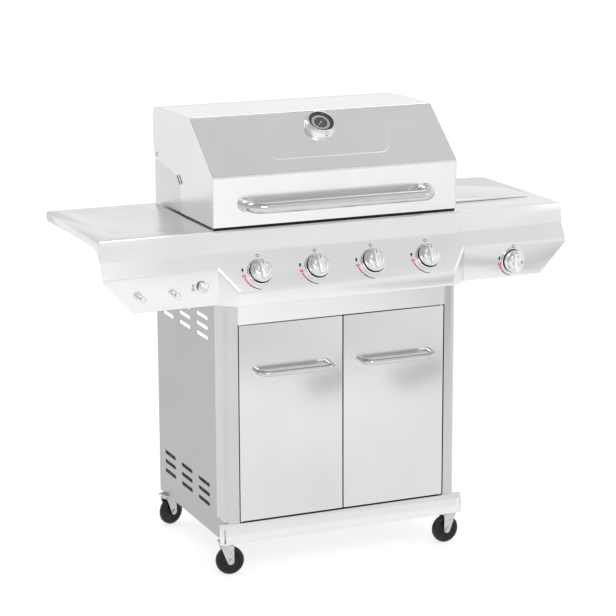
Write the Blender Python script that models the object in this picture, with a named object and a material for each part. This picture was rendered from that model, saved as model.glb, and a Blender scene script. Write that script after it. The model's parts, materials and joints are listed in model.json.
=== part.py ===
"""Four-burner gas barbecue grill on a two-door cabinet with side shelves, built from separate sheet-metal,
cast and turned pieces. Metres, +Z up, the front faces -Y, the origin is on the floor under the middle."""

import math

import bmesh
import bpy
from mathutils import Matrix, Vector

# Overall sizes
OVERALL_WIDTH = 1.320
CABINET_WIDTH = 0.6686
CABINET_FRONT = -0.2308
CABINET_REAR = 0.2883
HOOD_OVERHANG = 0.0134
HOOD_CLEARANCE = 0.0036

# Heights of the stack, from the floor up
CASTER_HEIGHT = 0.0902
RAIL_HEIGHT = 0.0540
DOOR_HEIGHT = 0.5300
FASCIA_HEIGHT = 0.0608
LIP_HEIGHT = 0.0380
SLOPE_HEIGHT = 0.0950
BROW_HEIGHT = 0.0545
HOOD_LIFT = 0.0055
HOOD_FRONT_HEIGHT = 0.1300
HOOD_SLOPE_RISE = 0.1310

# Depths of the front's folds, measured forward of the cabinet's front, and of the hood
BROW_SETBACK = 0.0193
SLOPE_START_SETBACK = 0.0166
APRON_FORWARD = 0.0075
LIP_FORWARD = 0.0417
SHELF_REAR = 0.2391
HOOD_FRONT = -0.1939
RIDGE_Y = -0.0333
HOOD_REAR = 0.2545
HINGE_Y = 0.2323
HINGE_HEIGHT_ON_HOOD = 0.1305
HINGE_GAP = 0.0030

# Sheet metal and clearances
SHEET = 0.0012
TOUCH = 0.0003
DOOR_GAP = 0.0025
FOLD_RADIUS = 0.0030
PANEL_FOLD_RADIUS = 0.0060
POST_FACE = 0.0364
POST_SIDE = 0.0730
POST_CORNER = 0.0200
RAIL_OVERHANG = 0.0177
RAIL_FORWARD = 0.0077
RAIL_DEPTH = 0.0140
LIP_INSET = 0.0430
DOOR_DEPTH = 0.0180
DOOR_PIVOT_INSET = 0.0055

# Handles
HOOD_HANDLE_RADIUS = 0.0150
HOOD_HANDLE_REACH = 0.0520
HOOD_HANDLE_DROP = 0.0030
HOOD_HANDLE_HALF = 0.2586
HOOD_HANDLE_UP = 0.0552
DOOR_HANDLE_RADIUS = 0.0075
DOOR_HANDLE_REACH = 0.0500
DOOR_HANDLE_DROP = 0.0030
DOOR_HANDLE_HALF = 0.1020
DOOR_HANDLE_DOWN = 0.1190

# Controls
BURNERS = 4
BURNER_SPACING = 0.1600
KNOB_RADIUS = 0.0300
KNOB_HEIGHT = 0.0330
BEZEL_RADIUS = 0.0360
BEZEL_HEIGHT = 0.0055
KNOB_DOWN_SLOPE = 0.0620
SIDE_KNOB_X = 0.4985
SIDE_KNOB_DOWN = 0.0485
STEM_RADIUS = 0.0040
STEM_CLEARANCE = 0.0003
BUTTON_RADIUS = 0.0140
BUTTON_TRAVEL = 0.0040

# Side shelves and side burner
STRIP_HEIGHT = 0.0230
APRON_CUT = 0.0790
WELL_DEPTH = 0.0420
WELL_MARGIN_OUT = 0.0450
SIDE_LID_MARGIN_OUT = 0.0380
SIDE_LID_LENGTH_X = 0.2300
SIDE_LID_FRONT = -0.0932
SIDE_LID_REAR = 0.2150
SIDE_LID_HEIGHT = 0.0060

# Cook box
BOX_CLEARANCE = 0.0018
BOX_FRONT = -0.1800
BOX_REAR = 0.2250
BOX_RIM_DROP = 0.0075
BOX_WALL_HEIGHT = 0.1430
BOX_FUNNEL_HEIGHT = 0.0300
BURNER_RADIUS = 0.0125
BURNER_BELOW_TOP = 0.1195
GRATE_BELOW_TOP = 0.0225
GRATE_BARS = 15
THERMOMETER_RADIUS = 0.0430
THERMOMETER_HEIGHT = 0.0220
THERMOMETER_FROM_RIDGE = 0.0560

# Cabinet details
LOUVRE_LENGTH = 0.0860
LOUVRE_HEIGHT = 0.0110
LOUVRE_PITCH = 0.0267
LOUVRE_COLUMN_PITCH = 0.1320
BACK_PANEL_HEIGHT = 0.4100
TRAY_BELOW_TOP = 0.1920
TRAY_DEPTH = 0.0270
CUP_RADIUS = 0.0360
CUP_HEIGHT = 0.0600

# Casters
WHEEL_RADIUS = 0.0380
WHEEL_WIDTH = 0.0200
CASTER_TRAIL = 0.0090
CASTER_PLATE = 0.0400
AXLE_RADIUS = 0.0040
FORK_WIDTH = 0.0360
CASTER_X_INSET = 0.0073
CASTER_FRONT_INSET = 0.0253
CASTER_REAR_INSET = 0.0438

# Derived heights
RAIL_BOTTOM = CASTER_HEIGHT + TOUCH
RAIL_TOP = RAIL_BOTTOM + RAIL_HEIGHT
DOOR_BOTTOM = RAIL_TOP + DOOR_GAP
DOOR_TOP = DOOR_BOTTOM + DOOR_HEIGHT
LIP_BOTTOM = DOOR_TOP + FASCIA_HEIGHT
LIP_TOP = LIP_BOTTOM + LIP_HEIGHT
SLOPE_TOP = LIP_TOP + SLOPE_HEIGHT
DECK = SLOPE_TOP + BROW_HEIGHT
HOOD_BOTTOM = DECK + HOOD_LIFT
HOOD_SLOPE_FOOT = HOOD_BOTTOM + HOOD_FRONT_HEIGHT
RIDGE_Z = HOOD_SLOPE_FOOT + HOOD_SLOPE_RISE
HINGE_Z = HOOD_BOTTOM + HINGE_HEIGHT_ON_HOOD

# Derived widths, from the middle out
CABINET_HALF = CABINET_WIDTH / 2
HOOD_HALF = CABINET_HALF + HOOD_OVERHANG
SHELF_INNER = HOOD_HALF + HOOD_CLEARANCE
SHELF_OUTER = OVERALL_WIDTH / 2
PANEL_HALF = SHELF_INNER - TOUCH
RAIL_HALF = CABINET_HALF + RAIL_OVERHANG
DOOR_OUTER = CABINET_HALF - POST_FACE - DOOR_GAP
BOX_HALF = CABINET_HALF - SHEET - BOX_CLEARANCE

# Derived places on the front's folds
BROW_Y = CABINET_FRONT + BROW_SETBACK
FOLD_Y = CABINET_FRONT + SLOPE_START_SETBACK
LIP_Y = CABINET_FRONT - LIP_FORWARD
APRON_Y = CABINET_FRONT - APRON_FORWARD
SLOPE_RUN = FOLD_Y - LIP_Y
APRON_TOP = SLOPE_TOP - SLOPE_HEIGHT * (FOLD_Y - APRON_Y) / SLOPE_RUN
SLOPE_ANGLE = math.atan2(SLOPE_HEIGHT, SLOPE_RUN)
SLOPE_NORMAL = Vector((0, -math.sin(SLOPE_ANGLE), math.cos(SLOPE_ANGLE)))
HOOD_SLOPE_ANGLE = math.atan2(HOOD_SLOPE_RISE, RIDGE_Y - HOOD_FRONT)
MANIFOLD_DEPTH = 0.0450

KNOB_XS = [(i - (BURNERS - 1) / 2) * BURNER_SPACING for i in range(BURNERS)]

MATERIALS = {
    "stainless": ((0.72, 0.72, 0.72), 0.28, 1.0),
    "stainless_dark": ((0.55, 0.55, 0.56), 0.34, 1.0),
    "chrome": ((0.80, 0.80, 0.81), 0.08, 1.0),
    "zinc_plate": ((0.62, 0.63, 0.65), 0.30, 1.0),
    "cast_iron": ((0.03, 0.03, 0.03), 0.65, 0.3),
    "black_rubber": ((0.02, 0.02, 0.02), 0.75, 0.0),
    "brass": ((0.70, 0.52, 0.22), 0.30, 1.0),
}


# ---------------------------------------------------------------- shared tools

def clear_scene():
    for old in list(bpy.data.objects):
        bpy.data.objects.remove(old, do_unlink=True)


def make_material(name):
    colour, roughness, metallic = MATERIALS[name]
    material = bpy.data.materials.new(name)
    material.use_nodes = True
    shader = material.node_tree.nodes["Principled BSDF"]
    shader.inputs["Base Color"].default_value = (*colour, 1.0)
    shader.inputs["Roughness"].default_value = roughness
    shader.inputs["Metallic"].default_value = metallic
    return material


def object_of(name, bm):
    bmesh.ops.recalc_face_normals(bm, faces=bm.faces)
    mesh = bpy.data.meshes.new(name)
    bm.to_mesh(mesh)
    bm.free()
    made = bpy.data.objects.new(name, mesh)
    bpy.context.collection.objects.link(made)
    return made


def baked(made):
    """The object with its modifiers applied."""
    bpy.context.view_layer.update()
    graph = bpy.context.evaluated_depsgraph_get()
    mesh = bpy.data.meshes.new_from_object(made.evaluated_get(graph))
    name = made.name
    matrix = made.matrix_world.copy()
    bpy.data.objects.remove(made, do_unlink=True)
    result = bpy.data.objects.new(name, mesh)
    result.matrix_world = matrix
    bpy.context.collection.objects.link(result)
    return result


def combined(first, others, operation):
    for other in others:
        boolean = first.modifiers.new(operation, "BOOLEAN")
        boolean.operation = operation
        boolean.object = other
        first = baked(first)
        bpy.data.objects.remove(other, do_unlink=True)
    return first


def fused(first, *others):
    return combined(first, others, "UNION")


def cut(first, *cutters):
    return combined(first, cutters, "DIFFERENCE")


def block(low, high, name="block"):
    bm = bmesh.new()
    size = [h - l for l, h in zip(low, high)]
    middle = [(h + l) / 2 for l, h in zip(low, high)]
    matrix = Matrix.Translation(middle) @ Matrix.Diagonal((*size, 1.0))
    bmesh.ops.create_cube(bm, size=1.0, matrix=matrix)
    return object_of(name, bm)


def prism(outline, axis, low, high, name="prism"):
    """A closed outline pushed along an axis. The outline's pairs are the other two axes, in XYZ order."""
    place = {
        "X": lambda a, b, along: (along, a, b),
        "Y": lambda a, b, along: (a, along, b),
        "Z": lambda a, b, along: (a, b, along),
    }[axis]
    bm = bmesh.new()
    face = bm.faces.new([bm.verts.new(place(a, b, low)) for a, b in outline])
    pushed = bmesh.ops.extrude_face_region(bm, geom=[face])
    shift = Vector(place(0, 0, high)) - Vector(place(0, 0, low))
    moved = [v for v in pushed["geom"] if isinstance(v, bmesh.types.BMVert)]
    bmesh.ops.translate(bm, verts=moved, vec=shift)
    return object_of(name, bm)


def arc(centre, radius, start, end, steps):
    """Points on an arc, angles in degrees."""
    found = []
    for i in range(steps + 1):
        angle = math.radians(start + (end - start) * i / steps)
        found.append((centre[0] + radius * math.cos(angle), centre[1] + radius * math.sin(angle)))
    return found


def bent_strip(points, thickness=SHEET):
    """The outline of a bent sheet: the points are its outer side, and the metal lies to their left."""
    points = [Vector(p) for p in points]
    inner = []
    for i, point in enumerate(points):
        before = points[i] - points[i - 1] if i else points[1] - points[0]
        after = points[i + 1] - points[i] if i + 1 < len(points) else before
        left_before = Vector((-before.y, before.x)).normalized()
        left_after = Vector((-after.y, after.x)).normalized()
        mitre = (left_before + left_after).normalized()
        inner.append(point + mitre * (thickness / mitre.dot(left_before)))
    return [tuple(p) for p in points] + [tuple(p) for p in reversed(inner)]


def turned(profile, sides=32, ring=False, name="turned"):
    """A solid turned about its own Z axis, from (radius, height) pairs. A ring's profile closes on itself."""
    bm = bmesh.new()
    loops = []
    for radius, height in profile:
        count = sides if radius > 1e-6 else 1
        turn = 2 * math.pi / sides
        loop = [
            bm.verts.new((radius * math.cos(k * turn), radius * math.sin(k * turn), height))
            for k in range(count)
        ]
        loops.append(loop)
    pairs = list(zip(loops, loops[1:]))
    if ring:
        pairs.append((loops[-1], loops[0]))
    for lower, upper in pairs:
        for k in range(sides):
            corners = [lower[k % len(lower)], lower[(k + 1) % len(lower)]]
            corners += [upper[(k + 1) % len(upper)], upper[k % len(upper)]]
            bm.faces.new(list(dict.fromkeys(corners)))
    return object_of(name, bm)


def rounded_path(corners, radius, steps=6):
    """The corners as one path, with an arc of this radius at each inner corner."""
    corners = [Vector(c) for c in corners]
    path = [corners[0]]
    for before, corner, after in zip(corners, corners[1:], corners[2:]):
        into = (before - corner).normalized()
        out = (after - corner).normalized()
        half = into.angle(out) / 2
        centre = corner + (into + out).normalized() * (radius / math.sin(half))
        first = corner + into * (radius / math.tan(half)) - centre
        last = corner + out * (radius / math.tan(half)) - centre
        for i in range(steps + 1):
            share = i / steps
            path.append(centre + first.slerp(last, share).normalized() * radius)
    return path + [corners[-1]]


def tube(path, radius, name="tube"):
    """A round bar along a path, with flat ends."""
    curve = bpy.data.curves.new(name, "CURVE")
    curve.dimensions = "3D"
    curve.bevel_depth = radius
    curve.bevel_resolution = 4
    curve.use_fill_caps = True
    spline = curve.splines.new("POLY")
    spline.points.add(len(path) - 1)
    for point, place in zip(spline.points, path):
        point.co = (*place, 1.0)
    made = bpy.data.objects.new(name, curve)
    bpy.context.collection.objects.link(made)
    solid = baked(made)
    bm = bmesh.new()
    bm.from_mesh(solid.data)
    bmesh.ops.remove_doubles(bm, verts=bm.verts, dist=1e-6)
    bmesh.ops.recalc_face_normals(bm, faces=bm.faces)
    bm.to_mesh(solid.data)
    bm.free()
    return solid


def folded(corners, faces, name, radius=FOLD_RADIUS, thickness=SHEET, fold_angle=15, segments=2):
    """A folded sheet: its outer skin from corners and faces, rounded at the folds, thickened inwards."""
    bm = bmesh.new()
    verts = [bm.verts.new(c) for c in corners]
    for face in faces:
        bm.faces.new([verts[i] for i in face])
    bm.normal_update()
    if radius:
        folds = [
            edge for edge in bm.edges
            if len(edge.link_faces) == 2 and edge.calc_face_angle() > math.radians(fold_angle)
        ]
        bmesh.ops.bevel(
            bm, geom=folds, offset=radius, offset_type="OFFSET",
            segments=segments, profile=0.5, affect="EDGES",
        )
    mesh = bpy.data.meshes.new(name)
    bm.to_mesh(mesh)
    bm.free()
    made = bpy.data.objects.new(name, mesh)
    bpy.context.collection.objects.link(made)
    solidify = made.modifiers.new("thickness", "SOLIDIFY")
    solidify.thickness = thickness
    solidify.offset = -1.0
    solidify.solidify_mode = "NON_MANIFOLD"
    solidify.nonmanifold_thickness_mode = "CONSTRAINTS"
    return baked(made)


def stepped_rings(rings, name, outward=True, radius=0.0, thickness=SHEET, floor=True):
    """A pan or cover of four-cornered rings (x0, x1, y0, y1, z), joined one to the next, then thickened."""
    corners = []
    for x0, x1, y0, y1, z in rings:
        corners += [(x0, y0, z), (x1, y0, z), (x1, y1, z), (x0, y1, z)]
    faces = []
    for level in range(len(rings) - 1):
        base = 4 * level
        for k in range(4):
            following = (k + 1) % 4
            face = [base + k, base + following, base + 4 + following, base + 4 + k]
            faces.append(face if outward else face[::-1])
    if floor:
        last = 4 * (len(rings) - 1)
        face = [last, last + 1, last + 2, last + 3]
        faces.append(face if outward else face[::-1])
    return folded(corners, faces, name, radius, thickness)


def smooth(made, angle=35):
    made.data.shade_smooth()
    made.data.set_sharp_from_angle(angle=math.radians(angle))
    return made


def oriented(made, location, z_axis):
    """Turn a piece made about its own Z so that it points along z_axis from location."""
    made.rotation_euler = Vector(z_axis).to_track_quat("Z", "Y").to_euler()
    made.location = location
    return made


def with_origin(made, origin):
    """Move the piece's origin, and leave the piece where it is."""
    made.data.transform(Matrix.Translation(-Vector(origin)) @ made.matrix_world)
    made.matrix_world = Matrix.Translation(origin)
    return made


class Assembly:
    """The pieces by moving group: each group is an empty on its joint's axis, and its pieces hang on it."""

    def __init__(self):
        self.materials = {name: make_material(name) for name in MATERIALS}
        self.groups = {}

    def group(self, name, origin=(0, 0, 0), parent=None):
        empty = bpy.data.objects.new(name + "_group", None)
        bpy.context.collection.objects.link(empty)
        empty.location = origin
        if parent:
            empty.parent = self.groups[parent][0]
            empty.location = Vector(origin) - self.groups[parent][1]
        self.groups[name] = (empty, Vector(origin))

    def add(self, made, name, group, material, origin=None):
        empty, place = self.groups[group]
        bpy.context.view_layer.update()
        with_origin(made, place if origin is None else origin)
        made.name = name
        made.data.name = name
        made.data.materials.clear()
        made.data.materials.append(self.materials[material])
        smooth(made)
        made.location = made.location - place
        made.parent = empty
        return made


# ---------------------------------------------------------------- cabinet

def rail_outline():
    front = CABINET_FRONT - RAIL_FORWARD
    chamfer = RAIL_HEIGHT / 3
    back = front + RAIL_DEPTH
    points = [
        (back, RAIL_TOP), (front + 0.8 * RAIL_DEPTH, RAIL_TOP), (front, RAIL_TOP - chamfer),
        (front, RAIL_BOTTOM), (back, RAIL_BOTTOM),
    ]
    return points


def add_base_frame(grill):
    """The cabinet's floor with its front rail, rear fold, and the plates that the casters are riveted to."""
    front = CABINET_FRONT - RAIL_FORWARD
    rear = CABINET_REAR - 4 * SHEET
    flange = CASTER_PLATE + 0.02
    rail = rail_outline()
    omega = [(rear - flange, RAIL_BOTTOM), (rear, RAIL_BOTTOM), (rear, RAIL_TOP)]
    omega += rail[:4] + [(front + flange, RAIL_BOTTOM)]
    inner_half = CABINET_HALF - SHEET - TOUCH
    floor = prism(bent_strip(omega), "X", -inner_half, inner_half)
    wings = prism(bent_strip(rail), "X", -RAIL_HALF, RAIL_HALF)
    floor = fused(floor, wings)
    for side in (-1, 1):
        ends = sorted((side * (RAIL_HALF - SHEET), side * RAIL_HALF))
        floor = fused(floor, prism(rail, "X", *ends))
        slot_x = side * (RAIL_HALF - 0.0100)
        slot_low = (slot_x - 0.0025, front - 0.01, RAIL_BOTTOM + 0.004)
        slot_high = (slot_x + 0.0025, front + 0.004, RAIL_BOTTOM + 0.0405)
        floor = cut(floor, block(slot_low, slot_high))
    grill.add(floor, "base_frame", "frame", "stainless")


def add_front_post(grill, side, name):
    """A corner post: door-side return, face, round corner and side."""
    face_inner = CABINET_HALF - POST_FACE
    back = CABINET_FRONT + 0.0200
    corner = (CABINET_HALF - POST_CORNER, CABINET_FRONT + POST_CORNER)
    points = [(face_inner, back), (face_inner, CABINET_FRONT)]
    points += arc(corner, POST_CORNER, -90, 0, 6)
    points += [(CABINET_HALF, CABINET_FRONT + POST_SIDE)]
    outline = [(side * x, y) for x, y in bent_strip(points)]
    top = LIP_BOTTOM + 0.045
    post = prism(outline, "Z", RAIL_TOP + TOUCH, top)
    grill.add(post, name, "frame", "stainless", (side * CABINET_HALF, CABINET_FRONT, RAIL_TOP))


def louvre_cutters(side):
    """The slots in three columns of three, low and high on a side panel."""
    cutters = []
    first_y = CABINET_REAR - 0.0898
    for group_top in (RAIL_TOP + 0.0720, DOOR_TOP - 0.0030):
        for column in range(3):
            for row in range(3):
                middle_y = first_y - column * LOUVRE_COLUMN_PITCH
                middle_z = group_top - row * LOUVRE_PITCH
                radius = LOUVRE_HEIGHT / 2
                half = LOUVRE_LENGTH / 2 - radius
                ends = arc((middle_y + half, middle_z), radius, -90, 90, 3)
                ends += arc((middle_y - half, middle_z), radius, 90, 270, 3)
                reach = sorted((side * (CABINET_HALF - 0.01), side * (CABINET_HALF + 0.01)))
                cutters.append(prism(ends, "X", *reach))
    return cutters


def add_side_panel(grill, side, name):
    """A side panel with its rear fold, its foot under the post, its louvres and the ledge for the tray."""
    outer, inner = CABINET_HALF, CABINET_HALF - SHEET
    post_end = CABINET_FRONT + POST_SIDE + TOUCH
    foot_end = CABINET_FRONT - RAIL_FORWARD + RAIL_DEPTH + TOUCH
    foot_top = RAIL_TOP - TOUCH
    top = DECK - 0.0320
    outline = [
        (foot_end, RAIL_BOTTOM), (CABINET_REAR, RAIL_BOTTOM), (CABINET_REAR, top),
        (post_end, top), (post_end, foot_top), (foot_end, foot_top),
    ]
    panel = prism(outline, "X", *sorted((side * inner, side * outer)))
    fold = sorted((side * inner, side * (inner - 0.018)))
    ledge_top = DECK - TRAY_BELOW_TOP
    ledge = sorted((side * inner, side * (inner - 0.042)))
    overlap = side * 0.0005
    pieces = [
        block((fold[0] + min(overlap, 0), CABINET_REAR - SHEET, RAIL_BOTTOM),
              (fold[1] + max(overlap, 0), CABINET_REAR, top)),
        block((ledge[0] + min(overlap, 0), post_end + 0.001, ledge_top - SHEET),
              (ledge[1] + max(overlap, 0), CABINET_REAR - 0.02, ledge_top)),
    ]
    panel = fused(panel, *pieces)
    panel = cut(panel, *louvre_cutters(side))
    grill.add(panel, name, "frame", "stainless_dark", (side * outer, 0, RAIL_BOTTOM))


def add_back_panel(grill):
    half = CABINET_HALF - SHEET - 2 * TOUCH
    rear = CABINET_REAR - SHEET - TOUCH
    low = (-half, rear - SHEET, RAIL_BOTTOM)
    high = (half, rear, RAIL_BOTTOM + BACK_PANEL_HEIGHT)
    panel = block(low, high)
    hem = block((-half, rear - 0.016, high[2] - SHEET), high)
    grill.add(fused(panel, hem), "back_panel", "frame", "stainless_dark")


def add_front_fascia(grill):
    """The strip above the doors, folded back along its lower and upper edges."""
    half = CABINET_HALF - POST_FACE - TOUCH
    low, high = DOOR_TOP + DOOR_GAP, LIP_BOTTOM + 0.020
    points = [
        (CABINET_FRONT + 0.022, high), (CABINET_FRONT, high),
        (CABINET_FRONT, low), (CABINET_FRONT + 0.022, low),
    ]
    fascia = prism(bent_strip(points), "X", -half, half)
    grill.add(fascia, "front_fascia", "frame", "stainless")


def door_pivot(side):
    return Vector((side * (DOOR_OUTER - DOOR_PIVOT_INSET), CABINET_FRONT + DOOR_PIVOT_INSET, DOOR_BOTTOM))


def add_door(grill, side, word):
    """A pan-shaped door, open at the back, with its two pivot pins."""
    near, far = sorted((side * DOOR_GAP / 2, side * DOOR_OUTER))
    front, back = CABINET_FRONT, CABINET_FRONT + DOOR_DEPTH
    rings = []
    for y in (back, front):
        rings.append([(near, y, DOOR_BOTTOM), (far, y, DOOR_BOTTOM), (far, y, DOOR_TOP), (near, y, DOOR_TOP)])
    corners = rings[0] + rings[1]
    faces = [[4, 5, 6, 7]] + [[k, (k + 1) % 4, 4 + (k + 1) % 4, 4 + k] for k in range(4)]
    door = folded(corners, faces, "door", radius=0.0025)
    pivot = door_pivot(side)
    group = "door_" + word
    grill.group(group, pivot)
    pin_reach = 0.8 * DOOR_GAP
    reaches = ((DOOR_BOTTOM - pin_reach, DOOR_BOTTOM + SHEET), (DOOR_TOP - SHEET, DOOR_TOP + pin_reach))
    for z0, z1 in reaches:
        pin = turned([(0, z0), (0.003, z0), (0.003, z1), (0, z1)], 12)
        pin.location = (pivot.x, pivot.y, 0)
        door = fused(door, pin)
    grill.add(door, "door_" + word, group, "stainless")
    add_door_handle(grill, side, word, group)


def add_door_handle(grill, side, word, group):
    middle = side * (DOOR_GAP / 2 + DOOR_OUTER) / 2
    top = DOOR_TOP - DOOR_HANDLE_DOWN
    face = CABINET_FRONT - TOUCH
    bar_y = CABINET_FRONT - DOOR_HANDLE_REACH
    corners = [
        (middle - DOOR_HANDLE_HALF, face, top),
        (middle - DOOR_HANDLE_HALF, bar_y, top - DOOR_HANDLE_DROP),
        (middle + DOOR_HANDLE_HALF, bar_y, top - DOOR_HANDLE_DROP),
        (middle + DOOR_HANDLE_HALF, face, top),
    ]
    bar = tube(rounded_path(corners, 3.0 * DOOR_HANDLE_RADIUS), DOOR_HANDLE_RADIUS)
    bar = cut(bar, block((middle - 0.3, face, top - 0.1), (middle + 0.3, face + 0.1, top + 0.1)))
    grill.add(bar, "door_handle_" + word, group, "chrome")


# ---------------------------------------------------------------- control panel and gas

def slope_point(x, down, lift=0.0):
    """A point on the sloping face: this far down it, and this far off it."""
    along = Vector((0, -math.cos(SLOPE_ANGLE), -math.sin(SLOPE_ANGLE)))
    return Vector((x, FOLD_Y, SLOPE_TOP)) + along * down + SLOPE_NORMAL * lift


def stem_hole(place, axis, radius):
    hole = turned([(0, -0.02), (radius, -0.02), (radius, 0.02), (0, 0.02)], 16)
    return oriented(hole, place, axis)


def add_control_panel(grill):
    """Deck edge, brow, sloping face with clipped corners, lip and the facets that close its ends."""
    rear = BROW_Y + 0.034
    lip_half = PANEL_HALF - LIP_INSET
    corners = []
    for side in (-1, 1):
        corners += [
            (side * PANEL_HALF, rear, DECK), (side * PANEL_HALF, BROW_Y, DECK),
            (side * PANEL_HALF, FOLD_Y, SLOPE_TOP), (side * PANEL_HALF, APRON_Y, APRON_TOP),
            (side * lip_half, LIP_Y, LIP_TOP), (side * lip_half, LIP_Y, LIP_BOTTOM),
            (side * PANEL_HALF, APRON_Y, LIP_BOTTOM), (side * (lip_half - 0.02), LIP_Y + 0.02, LIP_BOTTOM),
        ]
    faces = [
        [0, 1, 9, 8], [1, 2, 10, 9], [2, 3, 4, 12, 11, 10], [4, 5, 13, 12],
        [3, 6, 5, 4], [11, 12, 13, 14], [5, 7, 15, 13],
    ]
    panel = folded(corners, faces, "panel", PANEL_FOLD_RADIUS, segments=3)
    for x in KNOB_XS:
        panel = cut(panel, stem_hole(slope_point(x, KNOB_DOWN_SLOPE), SLOPE_NORMAL, 2 * STEM_RADIUS))
    grill.add(panel, "control_panel", "frame", "stainless")


def knob_places():
    """Each control's name, place on its panel and axis."""
    places = [
        (f"burner_{i + 1}", slope_point(x, KNOB_DOWN_SLOPE), SLOPE_NORMAL)
        for i, x in enumerate(KNOB_XS)
    ]
    side_place = Vector((SIDE_KNOB_X, APRON_Y, APRON_TOP - SIDE_KNOB_DOWN))
    return places + [("side_burner", side_place, Vector((0, -1, 0)))]


def add_knobs(grill):
    for word, place, axis in knob_places():
        hole = BEZEL_RADIUS - 0.014
        profile = [
            (hole, TOUCH), (BEZEL_RADIUS, TOUCH), (BEZEL_RADIUS, 0.4 * BEZEL_HEIGHT),
            (BEZEL_RADIUS - 0.002, BEZEL_HEIGHT), (hole, BEZEL_HEIGHT),
        ]
        bezel = oriented(turned(profile, 32, ring=True), place, axis)
        grill.add(bezel, f"bezel_{word}", "frame", "chrome", place)
        grill.group(f"knob_{word}", place)
        grill.add(oriented(knob_shape(), place, axis), f"knob_{word}", f"knob_{word}", "chrome")


def knob_shape():
    """A skirted knob with a grip bar, bored for its stem, standing on its own Z."""
    low, waist, top = BEZEL_HEIGHT + 0.001, BEZEL_HEIGHT + 0.0090, KNOB_HEIGHT - 0.0055
    profile = [
        (0, low), (KNOB_RADIUS, low), (KNOB_RADIUS, waist - 0.002), (KNOB_RADIUS - 0.0015, waist),
        (KNOB_RADIUS - 0.005, waist + 0.002), (KNOB_RADIUS - 0.0075, top - 0.003),
        (KNOB_RADIUS - 0.0105, top), (0, top),
    ]
    knob = turned(profile, 32)
    half_length, half_width = KNOB_RADIUS - 0.003, 0.0058
    grip = block((-half_width, -half_length, waist), (half_width, half_length, KNOB_HEIGHT))
    bevel = grip.modifiers.new("edges", "BEVEL")
    bevel.width = 0.0028
    bevel.segments = 2
    knob = fused(knob, baked(grip))
    bore = STEM_RADIUS + STEM_CLEARANCE
    bore_top = KNOB_HEIGHT - 0.012
    hole = turned([(0, 0), (bore, 0), (bore, bore_top), (0, bore_top)], 16)
    return cut(knob, hole)


def add_manifold(grill):
    """The gas rail across the front, with a valve and a stem for each knob, and the inlet at its left end."""
    depth = SLOPE_NORMAL * -MANIFOLD_DEPTH
    centre = slope_point(0, KNOB_DOWN_SLOPE) + depth
    left, right = -PANEL_HALF + 0.055, SIDE_KNOB_X + 0.022
    radius = 0.0090
    rail = turned([(0, left), (radius, left), (radius, right), (0, right)], 16)
    rail.rotation_euler = (0, math.pi / 2, 0)
    rail.location = centre
    rail = baked(rail)
    stem_end = KNOB_HEIGHT - 0.014
    for word, place, axis in knob_places():
        reach = MANIFOLD_DEPTH + 0.004
        body = turned([
            (0, -reach), (0.0085, -reach), (0.0085, -0.0060), (0.0060, -0.0045),
            (STEM_RADIUS, -0.0045), (STEM_RADIUS, stem_end), (0, stem_end),
        ], 16)
        rail = fused(rail, oriented(body, place, axis))
    inlet = turned([(0, 0), (0.0065, 0), (0.0065, 0.018), (0.0095, 0.018), (0.0095, 0.030), (0, 0.030)], 12)
    rail = fused(rail, oriented(inlet, centre + Vector((left + 0.012, 0, 0)), (0, 0, -1)))
    grill.add(rail, "gas_manifold", "frame", "brass", centre)


def button_place():
    return Vector((-SHELF_INNER - 0.0447, APRON_Y, APRON_TOP - 0.0395))


def add_ignition_button(grill):
    place = button_place()
    travel = BUTTON_TRAVEL + 0.0005
    profile = [
        (0, -0.014), (0.0065, -0.014), (0.0065, travel), (BUTTON_RADIUS, travel),
        (BUTTON_RADIUS, travel + 0.0065), (BUTTON_RADIUS - 0.003, travel + 0.0095), (0, travel + 0.0105),
    ]
    grill.group("ignition_button", place)
    button = oriented(turned(profile, 28), place, (0, -1, 0))
    grill.add(button, "ignition_button", "ignition_button", "chrome")


# ---------------------------------------------------------------- shelves

def shelf_skin(side, well=None):
    """Corners and faces of a side shelf: top, brow, slope, clipped apron, end and rear strips."""
    inner, outer = SHELF_INNER, SHELF_OUTER
    strip = DECK - STRIP_HEIGHT
    low = LIP_BOTTOM + 0.001
    clip_x, clip_z = outer - APRON_CUT, APRON_TOP - 0.0095
    back_flange = APRON_Y + 0.012
    corners = [
        (inner, BROW_Y, DECK), (outer, BROW_Y, DECK), (outer, SHELF_REAR, DECK), (inner, SHELF_REAR, DECK),
        (inner, FOLD_Y, SLOPE_TOP), (outer, FOLD_Y, SLOPE_TOP),
        (inner, APRON_Y, APRON_TOP), (outer, APRON_Y, APRON_TOP),
        (outer, APRON_Y, clip_z), (clip_x, APRON_Y, low), (inner, APRON_Y, low),
        (clip_x - 0.01, back_flange, low), (inner, back_flange, low),
        (outer, SHELF_REAR, strip), (inner, SHELF_REAR, strip),
        (outer, BROW_Y + 0.0500, strip), (outer, BROW_Y + 0.0260, strip - 0.0050),
        (outer, BROW_Y + 0.0130, strip - 0.0200),
    ]
    faces = [
        [0, 4, 5, 1], [4, 6, 7, 5], [6, 10, 9, 8, 7], [10, 12, 11, 9],
        [1, 5, 17, 16, 15, 13, 2], [2, 13, 14, 3],
    ]
    top = [0, 1, 2, 3]
    rings = well or shelf_recess()
    previous = top
    for x0, x1, y0, y1, z in rings:
        start = len(corners)
        corners += [(x0, y0, z), (x1, y0, z), (x1, y1, z), (x0, y1, z)]
        ring = list(range(start, start + 4))
        for k in range(4):
            following = (k + 1) % 4
            faces.append([previous[k], previous[following], ring[following], ring[k]])
        previous = ring
    if not well:
        faces.append(previous)
    corners = [(side * x, y, z) for x, y, z in corners]
    if side < 0:
        faces = [face[::-1] for face in faces]
    return corners, faces


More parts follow.
